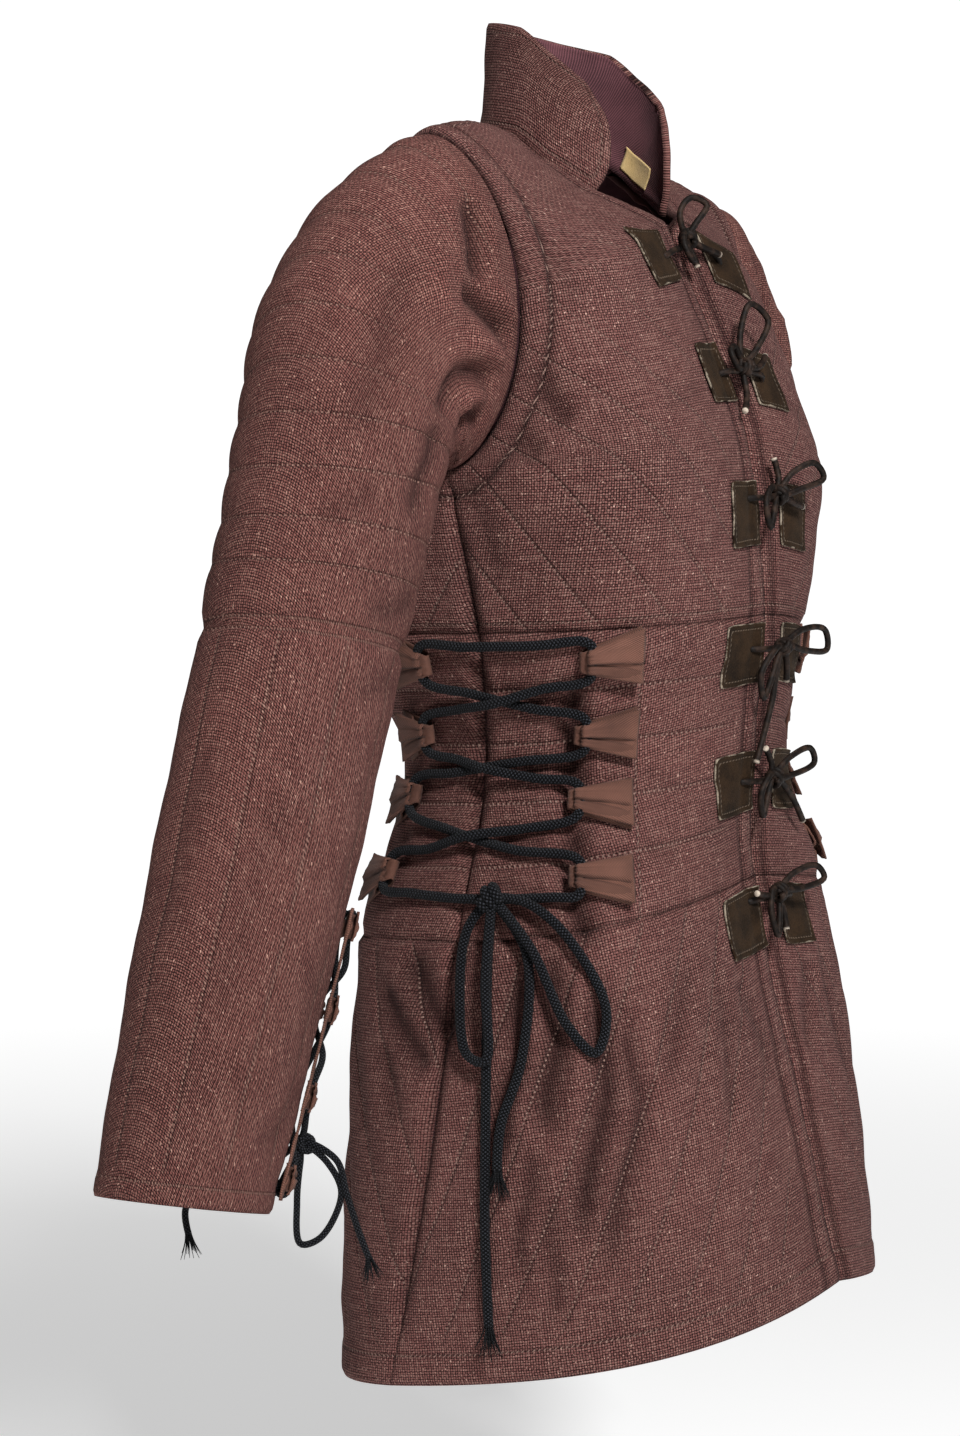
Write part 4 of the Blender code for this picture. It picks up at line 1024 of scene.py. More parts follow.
def add_side_lacing(side, word):
    def place(row, turn):
        return side_place(side, row, turn)

    for tabs, half in ((FRONT_TABS, "front"), (BACK_TABS, "back")):
        for number, tab in enumerate(tabs, 1):
            add_loop(f"ribbon_{half}_{word}_{number}", place, tab, 1.0, [f"tab_{half}_{word}_{number}"])
    knot = lifted(place, *SIDE_KNOT, 0.0095)
    path = lacing(place, FRONT_TABS, BACK_TABS, SIDE_KNOT, 1, 0.0068, 0.0145, 1)
    for name, loop, tail in (("front", LOOP_FRONT, SHORT_TAIL), ("back", LOOP_BACK, LONG_TAIL)):
        route = [knot] + [lifted(place, *p) for p in loop[:-1]] + [knot]
        route += [lifted(place, *p) for p in tail]
        line = settled(smooth_line(route, LACE_STEP))
        brush = frayed_end(f"side_brush_{name}_{word}", line, LACE_RADIUS, 0.021, 0.0075, 26)
        free_cord(
            f"side_bow_{name}_{word}", route, LACE_RADIUS, "braid", braid, "bare", "hanging",
            parts=[brush],
        )
    up = unit(place(2.35, 0.11)[0] - place(2.10, 0.11)[0])
    outward = place(*SIDE_KNOT)[1]
    across = unit(np.cross(up, outward))
    centre = settled(knot + outward * 0.0015)
    wrap = wound_knot(
        f"side_knot_{word}", centre, across * 0.8 + up * 0.35, LACE_RADIUS, 0.0062, "braid", braid
    )
    free_cord(
        f"side_lacing_{word}", path, LACE_RADIUS, "braid", braid, "knot", "taut",
        nodes=[f"side_lace_{word}"], parts=[wrap],
    )


for side, word in ((-1, "right"), (1, "left")):
    add_side_lacing(side, word)
print("side cords (m):", CORD_LENGTHS)

# %% [markdown]
# ## The laced cuffs
# A tape is sewn along each edge of the sleeve's slit and makes four small loops. A cord
# closes them like the side lacing, and is knotted near the cuff: one loop and one tail
# hang outside, and the other tail goes through the slit and hangs inside the cuff.

# %% The sleeve tapes, laces and bows
SLEEVE_TAB_RINGS, SLEEVE_FOLD, SLEEVE_KNOT_RING = (7.06, 7.34, 7.62, 7.88), 0.75, 7.76


def sleeve_tabs(edge):
    start = 0 if edge > 0 else SLEEVE_STEPS
    return [Tab(r, start + edge * 0.14, r, start + edge * 0.88, 0.018) for r in SLEEVE_TAB_RINGS]


TAPE_LIFT, TAPE_WALL, TAPE_WIDTH = 0.0039, 0.0014, 0.010


def add_sleeve_tape(word, edge, name, place):
    """A narrow tape beside the slit, with the four loops standing on it."""
    start = 0 if edge > 0 else SLEEVE_STEPS
    rings, columns = np.linspace(7.0, 7.95, 46), start + edge * np.linspace(0.60, 0.92, 9)
    points = np.zeros((len(rings), len(columns), 3))
    for i, ring in enumerate(rings):
        for j, column in enumerate(columns):
            point, outward = place(ring, column)
            ripple = 0.0003 * math.sin(ring * 50 + j * 0.7)
            points[i, j] = point + outward * (TAPE_LIFT + ripple)
    v = lengths_along(points[:, 4])
    flat = np.stack(np.meshgrid(np.linspace(0, TAPE_WIDTH, len(columns)), v), axis=-1)
    along, across = points[1, 0] - points[0, 0], points[0, 1] - points[0, 0]
    if np.cross(across, along) @ place(7.5, columns[4])[1] < 0:
        points, flat = points[:, ::-1], flat[:, ::-1]
    strip, row, column = net(f"cuff_tape_{name}_{word}", settled(points), flat)
    give(strip, "painted_shade", np.zeros(len(row)))
    thicken(strip, TAPE_WALL, 0)
    strip.data.shade_smooth()
    hand_over(strip, "tape", ribbon, f"sleeve_tape_{name}_{word}")
    for number, tab in enumerate(sleeve_tabs(edge), 1):
        add_loop(f"cuff_loop_{name}_{word}_{number}", place, tab, SLEEVE_FOLD, [])


def add_sleeve_lacing(side, word):
    def place(ring, column):
        return sleeve_place(side, ring, column)

    def across(ring, column):
        """Columns that run through the slit: below 0 they are on its back edge."""
        if column >= 0.12 or column <= -0.12:
            return place(ring, column if column > 0 else SLEEVE_STEPS + column)
        front, back = place(ring, 0.12), place(ring, SLEEVE_STEPS - 0.12)
        point = back[0] + (front[0] - back[0]) * (column + 0.12) / 0.24
        return point, unit(front[1] + back[1])

    for edge, name in ((1, "front"), (-1, "back")):
        add_sleeve_tape(word, edge, name, place)
    backs = [tab._replace(tip_turn=-0.14, base_turn=-0.88) for tab in sleeve_tabs(1)]
    knot_place = (SLEEVE_KNOT_RING, 0.0)
    knot = lifted(across, *knot_place, 0.0130)
    path = lacing(across, sleeve_tabs(1), backs, knot_place, SLEEVE_FOLD, 0.0052, 0.0108, -1)
    path[0] = path[-1] = knot
    aside, out = np.array([0.469, -0.883, 0]), unit(np.array([0.7, -0.7, 0]))
    loop = [(0.008, -0.012, 0.006), (0.016, -0.030, 0.006), (0.006, -0.056, 0.004)]
    loop += [(-0.006, -0.060, 0.004), (-0.007, -0.035, 0.003), (-0.005, -0.012, 0.003)]
    tail = [(0.017, -0.010, 0.002), (0.025, -0.030, 0.000), (0.032, -0.052, 0.000)]
    tail += [(0.038, -0.068, 0.000)]

    def below(strand):
        offsets = [aside * s + out * off + np.array([0, 0, up]) for s, up, off in strand]
        return [knot + mirrored(offset, -side) for offset in offsets]

    route = [knot] + below(loop) + [knot] + below(tail)
    centre = mirrored(np.array([-0.3085, 0.1155, -0.628]), -side)
    inner = [knot, lifted(across, 7.9, 0.0, 0.005), lifted(across, 7.97, 0.0, -0.006)]
    inner += [centre, centre - [0, 0, 0.018]]
    for name, points, end in (("bow", route, "outer"), ("tail", inner, "inner")):
        line = settled(smooth_line(points, THONG_STEP))
        brush = frayed_end(f"cuff_brush_{end}_{word}", line, THONG_RADIUS, 0.016, 0.0055, 20)
        free_cord(
            f"cuff_{name}_{word}", points, THONG_RADIUS, "braid", braid, "bare", "hanging",
            parts=[brush], step=THONG_STEP, sides=10,
        )
    outward = across(*knot_place)[1]
    wrap = wound_knot(
        f"cuff_knot_{word}", settled(knot + outward * 0.001), np.cross(outward, [0, 0, 1]),
        THONG_RADIUS, 0.0046, "braid", braid, turns=2.4,
    )
    free_cord(
        f"cuff_lacing_{word}", path, THONG_RADIUS, "braid", braid, "knot", "taut",
        nodes=[f"sleeve_lace_{word}"], parts=[wrap], step=THONG_STEP, sides=10,
    )


for side, word in ((-1, "right"), (1, "left")):
    add_sleeve_lacing(side, word)
print("cuff cords (m):", {k: v for k, v in CORD_LENGTHS.items() if k.startswith("cuff")})

# %% [markdown]
# ## Creases
# Worn cloth creases where it is pulled in or pushed together: at the armpit, beside
# the lacing, at the elbow and under each tie. Every crease here is a line over the
# surface with its own width and depth. A point of the cloth is moved by how near it
# lies to each line, so a crease runs on across a seam as it does in cloth.

# %% Creases of the coat: places as row and turn round the side seam, sizes in mm
Crease = namedtuple("Crease", "width depth line")
COAT_CREASES = [
    # beside the lacing: the step before the front loops, and the folds between them
    Crease(7, -8.0, ((3.74, 0.285), (3.35, 0.285), (3.05, 0.288), (2.70, 0.300))),
    Crease(7, -8.0, ((2.75, 0.298), (2.40, 0.300), (2.15, 0.310), (1.98, 0.335), (1.86, 0.345))),
    Crease(7, 1.6, ((3.62, 0.335), (3.45, 0.40), (3.50, 0.47))),
    Crease(7, 1.8, ((3.10, 0.34), (2.98, 0.41), (3.00, 0.48))),
    Crease(7, 1.6, ((2.58, 0.35), (2.48, 0.42), (2.50, 0.48))),
    Crease(5, -2.4, ((3.58, 0.05), (3.52, 0.15), (3.57, 0.26))),
    Crease(5, -2.6, ((3.08, 0.03), (3.02, 0.14), (3.08, 0.25))),
    Crease(5, -2.4, ((2.66, 0.04), (2.55, 0.15), (2.60, 0.27))),
    Crease(5, -2.0, ((2.33, 0.06), (2.24, 0.17), (2.12, 0.29))),
    Crease(5, -1.1, ((3.62, 0.50), (3.50, 0.58), (3.46, 0.68))),
    Crease(5, -1.2, ((2.98, 0.49), (2.86, 0.57), (2.84, 0.66))),
    Crease(6, -1.1, ((2.47, 0.48), (2.37, 0.56), (2.34, 0.63))),
    Crease(6, -1.8, ((3.60, -0.18), (3.52, -0.26), (3.56, -0.36))),
    Crease(6, -1.8, ((3.10, -0.20), (3.00, -0.30), (3.04, -0.42))),
    Crease(7, -1.8, ((2.62, -0.26), (2.52, -0.36), (2.55, -0.47))),
    # the side seam
    Crease(5, -3.2, tuple((row, 0.0) for row in (4.9, 4.5, 4.05, 3.6, 3.1, 2.6, 2.1))),
    Crease(5, -2.6, tuple((row, 0.0) for row in (2.0, 1.5, 1.0, 0.5, 0.1))),
    # the ripples of the skirt below the lacing
    Crease(8, -6.5, ((1.98, 0.272), (1.75, 0.258), (1.52, 0.282), (1.28, 0.262), (1.05, 0.286))),
    Crease(7, -5.2, ((1.94, 0.215), (1.70, 0.180), (1.45, 0.196), (1.22, 0.165), (0.92, 0.188))),
    Crease(8, -4.8, ((1.82, 0.385), (1.60, 0.372), (1.30, 0.395), (0.95, 0.365), (0.55, 0.352))),
    Crease(7, -3.8, ((1.70, 0.455), (1.45, 0.440), (1.20, 0.468), (0.85, 0.432), (0.40, 0.410))),
    Crease(9, 2.8, ((1.92, 0.245), (1.66, 0.222), (1.40, 0.240), (1.12, 0.222))),
    Crease(9, 2.8, ((1.88, 0.325), (1.60, 0.318), (1.35, 0.335), (1.00, 0.322))),
    Crease(8, 1.4, ((1.60, 0.415), (1.30, 0.425), (0.95, 0.400))),
    Crease(6, -3.2, ((1.12, 0.225), (0.92, 0.245), (0.66, 0.232), (0.42, 0.262))),
    Crease(6, -2.6, ((0.90, 0.305), (0.68, 0.290), (0.44, 0.318), (0.22, 0.312))),
    # the soft deep folds at the back of the side seam
    Crease(11, -7.0, ((1.97, -0.17), (1.80, -0.10), (1.64, -0.03), (1.52, 0.04))),
    Crease(9, -5.2, ((1.82, -0.24), (1.64, -0.15), (1.48, -0.07), (1.38, 0.0))),
    Crease(10, 3.0, ((1.90, -0.21), (1.72, -0.125), (1.56, -0.05))),
    Crease(8, -2.2, ((1.55, -0.22), (1.35, -0.16), (1.12, -0.13))),
    # the fan below the lowest tie, and pulls beside the others
    Crease(6, -2.2, ((1.62, 0.785), (1.42, 0.850), (1.15, 0.905))),
    Crease(6, -2.2, ((1.66, 0.715), (1.34, 0.722), (0.98, 0.700))),
    Crease(7, -2.2, ((1.76, 0.640), (1.52, 0.575), (1.22, 0.530))),
    Crease(6, -1.0, ((4.60, 0.80), (4.46, 0.70), (4.42, 0.60))),
    Crease(7, -1.1, ((5.98, 0.72), (5.84, 0.60), (5.80, 0.50))),
    Crease(6, -0.9, ((3.72, 0.68), (3.70, 0.60), (3.76, 0.54))),
    # the chest beside the armhole
    Crease(7, -3.6, ((6.25, 0.055), (6.02, 0.105), (5.80, 0.170), (5.62, 0.260))),
    Crease(7, -2.8, ((5.62, 0.050), (5.45, 0.130), (5.30, 0.220))),
    Crease(7, -1.8, ((4.95, 0.010), (4.80, 0.060), (4.55, 0.090), (4.30, 0.100))),
    Crease(9, -1.6, ((7.40, 0.10), (7.05, 0.16), (6.70, 0.20))),
    Crease(9, -2.4, ((6.10, -0.05), (5.75, -0.11), (5.40, -0.20), (5.10, -0.30))),
    Crease(8, -1.8, ((5.40, -0.05), (5.15, -0.12), (4.80, -0.17))),
    # hollows over the back of the waist and folds of the skirt behind
    Crease(13, -2.4, ((4.30, -0.50), (4.05, -0.62), (3.95, -0.80), (3.98, -0.97))),
    Crease(10, -1.8, ((3.70, -0.55), (3.62, -0.75), (3.68, -0.93))),
    Crease(13, -2.8, ((2.05, -0.45), (1.70, -0.50), (1.20, -0.47), (0.70, -0.50))),
    Crease(12, 2.4, ((1.95, -0.60), (1.50, -0.63), (1.00, -0.60), (0.45, -0.63))),
    Crease(12, -2.6, ((2.00, -0.76), (1.55, -0.80), (1.05, -0.77), (0.50, -0.79))),
    Crease(8, -1.3, ((4.60, -0.66), (4.90, -0.76), (5.10, -0.90))),
]
# Creases of the sleeve: places as ring and column
SLEEVE_CREASES = [
    Crease(8, -9.0, ((0.95, 5.7), (1.15, 5.0), (1.35, 4.2), (1.60, 3.5))),
    Crease(7, -9.5, ((1.92, 3.6), (1.70, 3.3), (1.40, 3.0), (0.75, 2.75))),
    Crease(7, 4.5, ((1.75, 4.4), (2.10, 3.9), (2.40, 3.0))),
    Crease(7, 4.0, ((1.15, 3.7), (0.95, 3.3), (0.55, 3.1))),
    Crease(6, -8.0, ((3.65, 2.25), (3.05, 2.10), (2.50, 1.98), (1.90, 1.85), (1.30, 1.75))),
    Crease(7, 5.0, ((2.20, 2.45), (1.70, 2.35), (1.10, 2.20))),
    Crease(6, -6.5, ((3.40, 0.85), (2.90, 0.95), (2.35, 1.02), (1.50, 1.05))),
    Crease(7, 4.5, ((3.05, 1.45), (2.40, 1.45), (1.75, 1.38))),
    Crease(7, -4.0, ((3.55, 2.30), (3.95, 2.25), (4.35, 2.35), (4.80, 2.55))),
    Crease(12, 2.4, ((4.00, 5.6), (3.55, 5.3), (3.05, 5.15), (2.55, 5.2))),
    Crease(12, -2.2, ((2.10, 4.75), (2.70, 4.35), (3.40, 4.25), (4.20, 4.55))),
    Crease(9, -1.8, ((4.45, 3.6), (4.75, 4.4), (4.85, 5.3))),
    Crease(8, -2.2, ((5.55, 1.2), (5.80, 2.3), (5.85, 3.4))),
    Crease(8, -1.7, ((6.25, 0.9), (6.20, 2.0), (6.32, 3.1))),
    Crease(9, -2.0, ((5.55, 14.8), (5.80, 13.6), (5.86, 12.2))),
    Crease(11, -1.4, ((6.45, 6.6), (6.80, 6.9), (7.25, 7.0))),
    Crease(11, -1.3, ((6.60, 4.3), (7.00, 4.7), (7.50, 4.9))),
    Crease(12, -1.5, ((6.50, 11.4), (6.95, 11.0), (7.40, 11.2))),
    Crease(8, -2.4, ((1.20, 10.2), (1.60, 11.4), (1.90, 12.5))),
    Crease(8, -2.8, ((2.40, 12.0), (2.20, 13.2), (1.80, 14.2))),
    Crease(7, -2.6, ((3.30, 13.4), (2.90, 14.4), (2.40, 15.1))),
    Crease(9, -1.6, ((0.80, 8.0), (1.25, 8.3), (1.80, 8.1))),
    Crease(8, -1.6, ((7.55, 0.9), (7.75, 2.0), (7.78, 3.2))),
]


# %% How far a crease moves the points near it
def away_from(points, line):
    """Distance from each point to a line of points, and how far along it that is, 0 to 1."""
    best, where = np.full(len(points), 1e9), np.zeros(len(points))
    lengths = lengths_along(line)
    for k in range(len(line) - 1):
        run = line[k + 1] - line[k]
        t = np.clip(((points - line[k]) @ run) / max(run @ run, 1e-12), 0, 1)
        far = np.linalg.norm(points - line[k] - t[:, None] * run, axis=1)
        nearer = far < best
        best[nearer] = far[nearer]
        where[nearer] = ((lengths[k] + t * (lengths[k + 1] - lengths[k])) / lengths[-1])[nearer]
    return best, where


def crease_lines(creases, place, vary):
    """Creases as lines in space. vary gives those of the hidden side sizes of their own."""
    lines = []
    for number, crease in enumerate(creases):
        line = smooth_line([place(*p)[0] for p in crease.line], 0.006)
        width = crease.width * (1 + vary * 0.16 * math.sin(2.3 * number + 1))
        depth = crease.depth * (1 + vary * 0.24 * math.sin(1.7 * number))
        lines.append((line, width / 1000, depth / 1000))
    return lines


CREASES = {"coat": [], "sleeve": []}
for side in (-1, 1):
    vary = 0 if side < 0 else 1

    def on_coat(row, turn, side=side, vary=vary):
        shift = 0.012 * vary * math.sin(5 * row + 9 * turn)
        return side_place(side, row, turn + shift if turn else turn)

    def on_sleeve(ring, column, side=side, vary=vary):
        return sleeve_place(side, ring, column + 0.25 * vary * math.sin(3 * ring + column))

    CREASES["coat"] += crease_lines(COAT_CREASES, on_coat, vary)
    CREASES["sleeve"] += crease_lines(SLEEVE_CREASES, on_sleeve, vary)


def creased(points, kind):
    """Heights from all creases of this kind, and how deep in a crease each point is, which darkens the
    cloth there as painted shade.
    """
    heights, depths = np.zeros(len(points)), np.zeros(len(points))
    for line, width, depth in CREASES[kind]:
        low, high = line.min(axis=0) - 3 * width, line.max(axis=0) + 3 * width
        here = np.where(((points > low) & (points < high)).all(axis=1))[0]
        if not len(here):
            continue
        far, where = away_from(points[here], line)
        ends = eased(where / 0.22) * eased((1 - where) / 0.22)
        bell = np.exp(-((far / width) ** 1.4)) * ends
        heights[here] += depth * bell
        # cloth pushed out of a trough stands up a little beside it
        if depth < 0:
            rim = near(far - 2.1 * width, 0.8 * width) * ends
            heights[here] -= 0.22 * depth * rim
            # the deeper the trough, the darker its painted shade
            depths[here] = np.maximum(depths[here], bell * min(1, -depth / 0.0050))
    return heights, depths


def waves(points, scale, size):
    """Slow unevenness of padded cloth, the same wherever two pieces meet."""
    x, y, z = points.T * scale
    wave = np.sin(1.0 * x + 0.6 * y + 1.7 * z + 0.4) + np.sin(-0.8 * x + 1.3 * y + 0.7 * z + 2.1)
    wave += 0.7 * np.sin(1.9 * x - 1.1 * y - 0.9 * z + 4.0)
    return wave * size / 2.7


print("creases:", len(CREASES["coat"]), "and", len(CREASES["sleeve"]))

# %% [markdown]
# ## The nine panels
# Each panel is a net of points about 3 mm apart over the coat's surface. Channels
# filled with wadding stand up between the rows of stitches, the cloth dips at each
# seam, and the creases are added on top. Solidify then gives the net the thickness of
# canvas, wadding and lining, inwards, so the outside keeps its place.

# %% A net of rows over a front or a back
MESH_STEP = 0.0031
UNDER_EDGE = {6: -OVERLAP, 6.5: -0.004, 7: 0.006, 7.3: 0.006}


def even_rows(half, low, high, along=0.5):
    fine = np.linspace(low, high, 80)
    lengths = lengths_along(np.array([coat(half, row, along) for row in fine]))
    count = int(round(lengths[-1] / MESH_STEP))
    return np.interp(np.linspace(0, lengths[-1], count + 1), lengths, fine)


def grid_normals(points):
    """Square to the net at each point, on the side where rows x columns turn right."""
    down, across = np.gradient(points, axis=0), np.gradient(points, axis=1)
    return unit(np.cross(across, down))


def front_net(side, rows, first=0.0):
    """Rows from the side seam, or from a share first of the way, to the front edge."""
    alongs = np.linspace(first, 1, 261)
    fine = np.array([coat_line("front", row, alongs) for row in rows])
    lines = list(fine)
    if side > 0:
        outwards = -grid_normals(fine)
        fine = fine - outwards * sink_at(fine[..., :1])
        lines = []
        for row, line in zip(rows, fine):
            edge = float(np.interp(row, list(UNDER_EDGE), list(UNDER_EDGE.values())))
            if row > 7.3 or line[-1, 0] > edge:
                lines.append(line)
                continue
            if edge < 0:
                line = np.concatenate([line, mirrored(line[::-1], -1)[1:120]])
            lengths = lengths_along(line)
            start = np.where(line[:, 0] < 0.07)[0][0]
            end = np.interp(-edge, -line[start:, 0], lengths[start:])
            lines.append(at_lengths(line, lengths, np.linspace(0, end, len(alongs))))
    longest = max(lengths_along(line)[-1] for line in lines)
    columns = int(round(longest / MESH_STEP)) + 1
    points, u = [], []
    for line in lines:
        lengths = lengths_along(line)
        wanted = np.linspace(0, lengths[-1], columns)
        points.append(at_lengths(line, lengths, wanted))
        u.append(lengths[-1] - wanted)
    points, u = mirrored(np.array(points), side), np.array(u)
    if side > 0:
        u -= np.clip(-points[:, -1:, 0], 0, None)  # counted from the centre line
    return points, u


def back_net(rows, first=0.0):
    """Rows from one side of the back across its centre to the other."""
    half = int(round(0.34 / MESH_STEP * (1 - first)))
    alongs = np.linspace(first, 1, half + 1)
    left = np.array([coat_line("back", row, alongs) for row in rows])
    points = np.concatenate([left, mirrored(left[:, ::-1], -1)[:, 1:]], axis=1)
    u = row_lengths(points)
    return points, np.abs(u - u[:, half : half + 1])


def area_of(points):
    a, b = np.diff(points, axis=0)[:, :-1], np.diff(points, axis=1)[:-1]
    return float(np.linalg.norm(np.cross(a, b), axis=2).sum())


# %% Wadding, seams and edges
ARMHOLE_LINES = [
    np.array([mirrored(armhole(turn), side) for turn in range(0, 361, 4)]) for side in (-1, 1)
]
BAND = 0.019  # the felled band round each armhole
FACING_EDGE = 0.0185  # where the facing folded inside a front edge ends
LOOP_SEAM = 0.478  # the stitches across the front loops, as a share of the way to the front edge
PANEL_WALL, SLEEVE_WALL, COTTON = 0.0055, 0.0052, 0.0008  # thicknesses of the cloth


def pillow(phase):
    """A channel of wadding between two rows of stitches."""
    return np.abs(np.sin(np.pi * phase)) ** 0.75


def add_panel(name, points, u, rows, quilting, loft, edges, finish, node, signed=None):
    """quilting gives phase and the way along the lines, in metres, from u and v."""
    high, wide = u.shape
    v = column_lengths(points)
    top, bottom = v[-1:] - v, v
    across = row_lengths(points)
    from_first, from_last = across, across[:, -1:] - across
    armholes = np.minimum(*[away_from(points.reshape(-1, 3), line)[0] for line in ARMHOLE_LINES])
    armholes = armholes.reshape(high, wide)
    distance = {
        "top": top, "bottom": bottom, "first": from_first, "last": from_last,
        "armhole": armholes, "hem": bottom - 0.0125, "band": armholes - 0.0125,
        "loops": across - LOOP_SEAM * across[:, -1:] + 0.0065,
    }
    distance["loops"] = np.where(distance["loops"] < 0, 1.0, distance["loops"])
    edge = np.minimum.reduce([distance[e] for e in edges])
    phase, dash = quilting(u, v, rows)
    puff = loft(u, v, rows)
    nearest = np.minimum.reduce([top, bottom, from_first, from_last])
    puff = puff * eased(nearest / 0.007)
    shown = np.clip(puff * 2.5, 0, 1)
    height = 0.0023 * puff * pillow(phase)
    flat_points = points.reshape(-1, 3)
    folds, depths = creased(flat_points, "coat")
    slow = waves(flat_points, 42.0, 0.0010) + waves(flat_points, 120.0, 0.0003)
    small = waves(flat_points, 420.0, 0.0004).reshape(high, wide) * np.exp(-nearest / 0.014)
    height = height + (folds + slow).reshape(high, wide) + small
    height -= 0.0009 * near(nearest, 0.0028)
    if "band" in edges:
        raised = eased((BAND - armholes) / 0.003 + 0.5) * (rows[:, None] > ARMPIT - 0.1)
        height = height * (1 - 0.75 * raised) + 0.0013 * raised
        height = height * (0.25 + 0.75 * eased(armholes / 0.008))
        height -= 0.0014 * near(armholes, 0.0030)
        height -= 0.0015 * near(armholes - BAND, 0.0032) * raised.max()
    # shade is painted shade: dark in the creases, along the front edges and along the armhole seams
    shade = depths.reshape(high, wide)
    if "last" in edges:
        # the facing folded inside shows as a ridge and a dip down the front edge
        height += 0.0010 * eased((0.0165 - from_last) / 0.004 + 0.5)
        height -= 0.0012 * near(from_last - FACING_EDGE, 0.0030)
        # painted shadow along the facing's edge and under the front edge
        shade = np.maximum(shade, 0.8 * near(from_last - FACING_EDGE, 0.0030))
        shade = np.maximum(shade, near(from_last, 0.0034))
    if "band" in edges:
        # painted shadow along both seams of the armhole band
        shade = np.maximum(shade, 0.8 * near(armholes - BAND, 0.0030))
        shade = np.maximum(shade, 0.9 * near(armholes, 0.0028))
    if "hem" in edges:
        height = height * eased(bottom / 0.05 + 0.25)
        height += 0.0008 * eased((0.019 - bottom) / 0.003 + 0.5)
        height -= 0.0018 * near(bottom, 0.0022)
    middle = high // 2, wide // 2
    away = points[middle] - [0, 0.02, points[middle][2]]
    outwards = turned_out(grid_normals(points), middle, away)
    moved = settled(points + outwards * height[..., None])
    flat = np.stack([u if signed is None else signed, v], axis=-1)
    fields = {
        "quilt": phase, "dash": dash / STITCH, "puff": shown, "edge": edge, "painted_shade": shade,
    }
    made = add_cloth(name, moved, flat, fields, outwards, PANEL_WALL, finish)
    hand_over(made, "canvas", None, node)
    declare(made, across, v, points)


CUT_SIZES = {}


def declare(made, u, v, points):
    """The flat cut of what shows, from the net before it was creased."""
    size, area = (float(u.max()), float(v.max())), area_of(points)
    CUT_SIZES[made.name] = round(size[0], 3), round(size[1], 3), round(area, 3)


def turned_out(outwards, at, away):
    """Ways out of a net, turned round if at one point they lead inwards."""
    return -outwards if outwards[at] @ away < 0 else outwards


def add_cloth(name, points, flat, fields, outwards, thickness, finish, inside=True):
    """A net with its fields, made a wall inwards from its outer points."""
    middle = points.shape[0] // 2, points.shape[1] // 2
    across = points[middle[0], middle[1] + 1] - points[middle]
    up = points[middle[0] + 1, middle[1]] - points[middle]
    if np.cross(across, up) @ outwards[middle] < 0:
        points, flat = points[:, ::-1], flat[:, ::-1]
        fields = {key: values[:, ::-1] for key, values in fields.items()}
    made, row, column = net(name, points, flat)
    for key, values in fields.items():
        give(made, key, values[row, column])
    made.data.materials.append(finish)
    if inside:
        made.data.materials.append(lining_twill)
    thicken(made, thickness, -1, 1 if inside else 0)
    made.data.shade_smooth()
    return made


# %% How each part of the coat is quilted
def slanting(angle, pitch, way):
    cos, sin = math.cos(math.radians(angle)), math.sin(math.radians(angle))

    def lines(u, v, rows):
        return (v * cos + way * u * sin) / pitch, u * cos - way * v * sin

    return lines


def level_lines(u, v, rows):
    phase = (rows[:, None] - SKIRT_SEAM) / (CHEST_SEAM - SKIRT_SEAM) * 5
    return np.broadcast_to(phase, u.shape).copy(), u.copy()


def skirt_loft(u, v, rows):
    return eased((v - 0.022) / 0.03) * eased((u - 0.020) / 0.05) * 0.95


def waist_loft(u, v, rows):
    return eased((u - 0.020) / 0.05) * 0.85


def chest_loft(u, v, rows):
    """The upper chest is quilted so lightly that it hardly shows."""
    fade = 1 - 0.72 * eased((rows[:, None] - 5.2) / 1.6)
    return eased((u - 0.020) / 0.06) * fade * 0.72


PARTS = (
    # name, first row, last row, quilting, loft, edges of a front, edges of the back, canvas
    (
        "skirt", HEM, SKIRT_SEAM, slanting(62, BODY_PITCH, 1), skirt_loft,
        ("last", "hem"), ("hem",), body_canvas,
    ),
    (
        "waist", SKIRT_SEAM, CHEST_SEAM, level_lines, waist_loft,
        ("last", "loops"), ("top",), waist_canvas,
    ),
    (
        "chest", CHEST_SEAM, SHOULDER, slanting(47, BODY_PITCH, -1), chest_loft,
        ("last", "bottom", "band", "top"), ("bottom", "band", "top"), body_canvas,
    ),
)
for part, low, high, quilting, loft, front_edges, back_edges, finish in PARTS:
    for side, word in ((-1, "right"), (1, "left")):
        rows = even_rows("front", low, high)
        points, u = front_net(side, rows)
        name = f"{part}_cloth_front_{word}"
        add_panel(name, points, u, rows, quilting, loft, front_edges, finish, f"{part}_front_{word}")
    rows = even_rows("back", low, high)
    points, u = back_net(rows)
    across = np.where(np.arange(u.shape[1]) < u.shape[1] // 2, -u, u)
    add_panel(
        f"{part}_cloth_back", points, u, rows, quilting, loft, back_edges, finish,
        f"{part}_back", across,
    )
print("panels, widest, longest, area:", CUT_SIZES)

# %% [markdown]
# ## The sleeves
# The upper arm is quilted round the arm and the forearm along it, with a seam at the
# elbow between them. Under the arm the cloth is pushed together in short deep folds.

# %% The two sleeves
UPPER_LENGTHS = (0, 0.030, 0.082, 0.147, 0.223, 0.281, 0.337)  # along the outside, rings 0 to 6
UPPER_CHANNELS, FOREARM_CHANNELS = 11, 9
SLEEVE_TUCK, SLEEVE_SINK = 0.009, 0.004  # how far its first ring goes in under the armhole


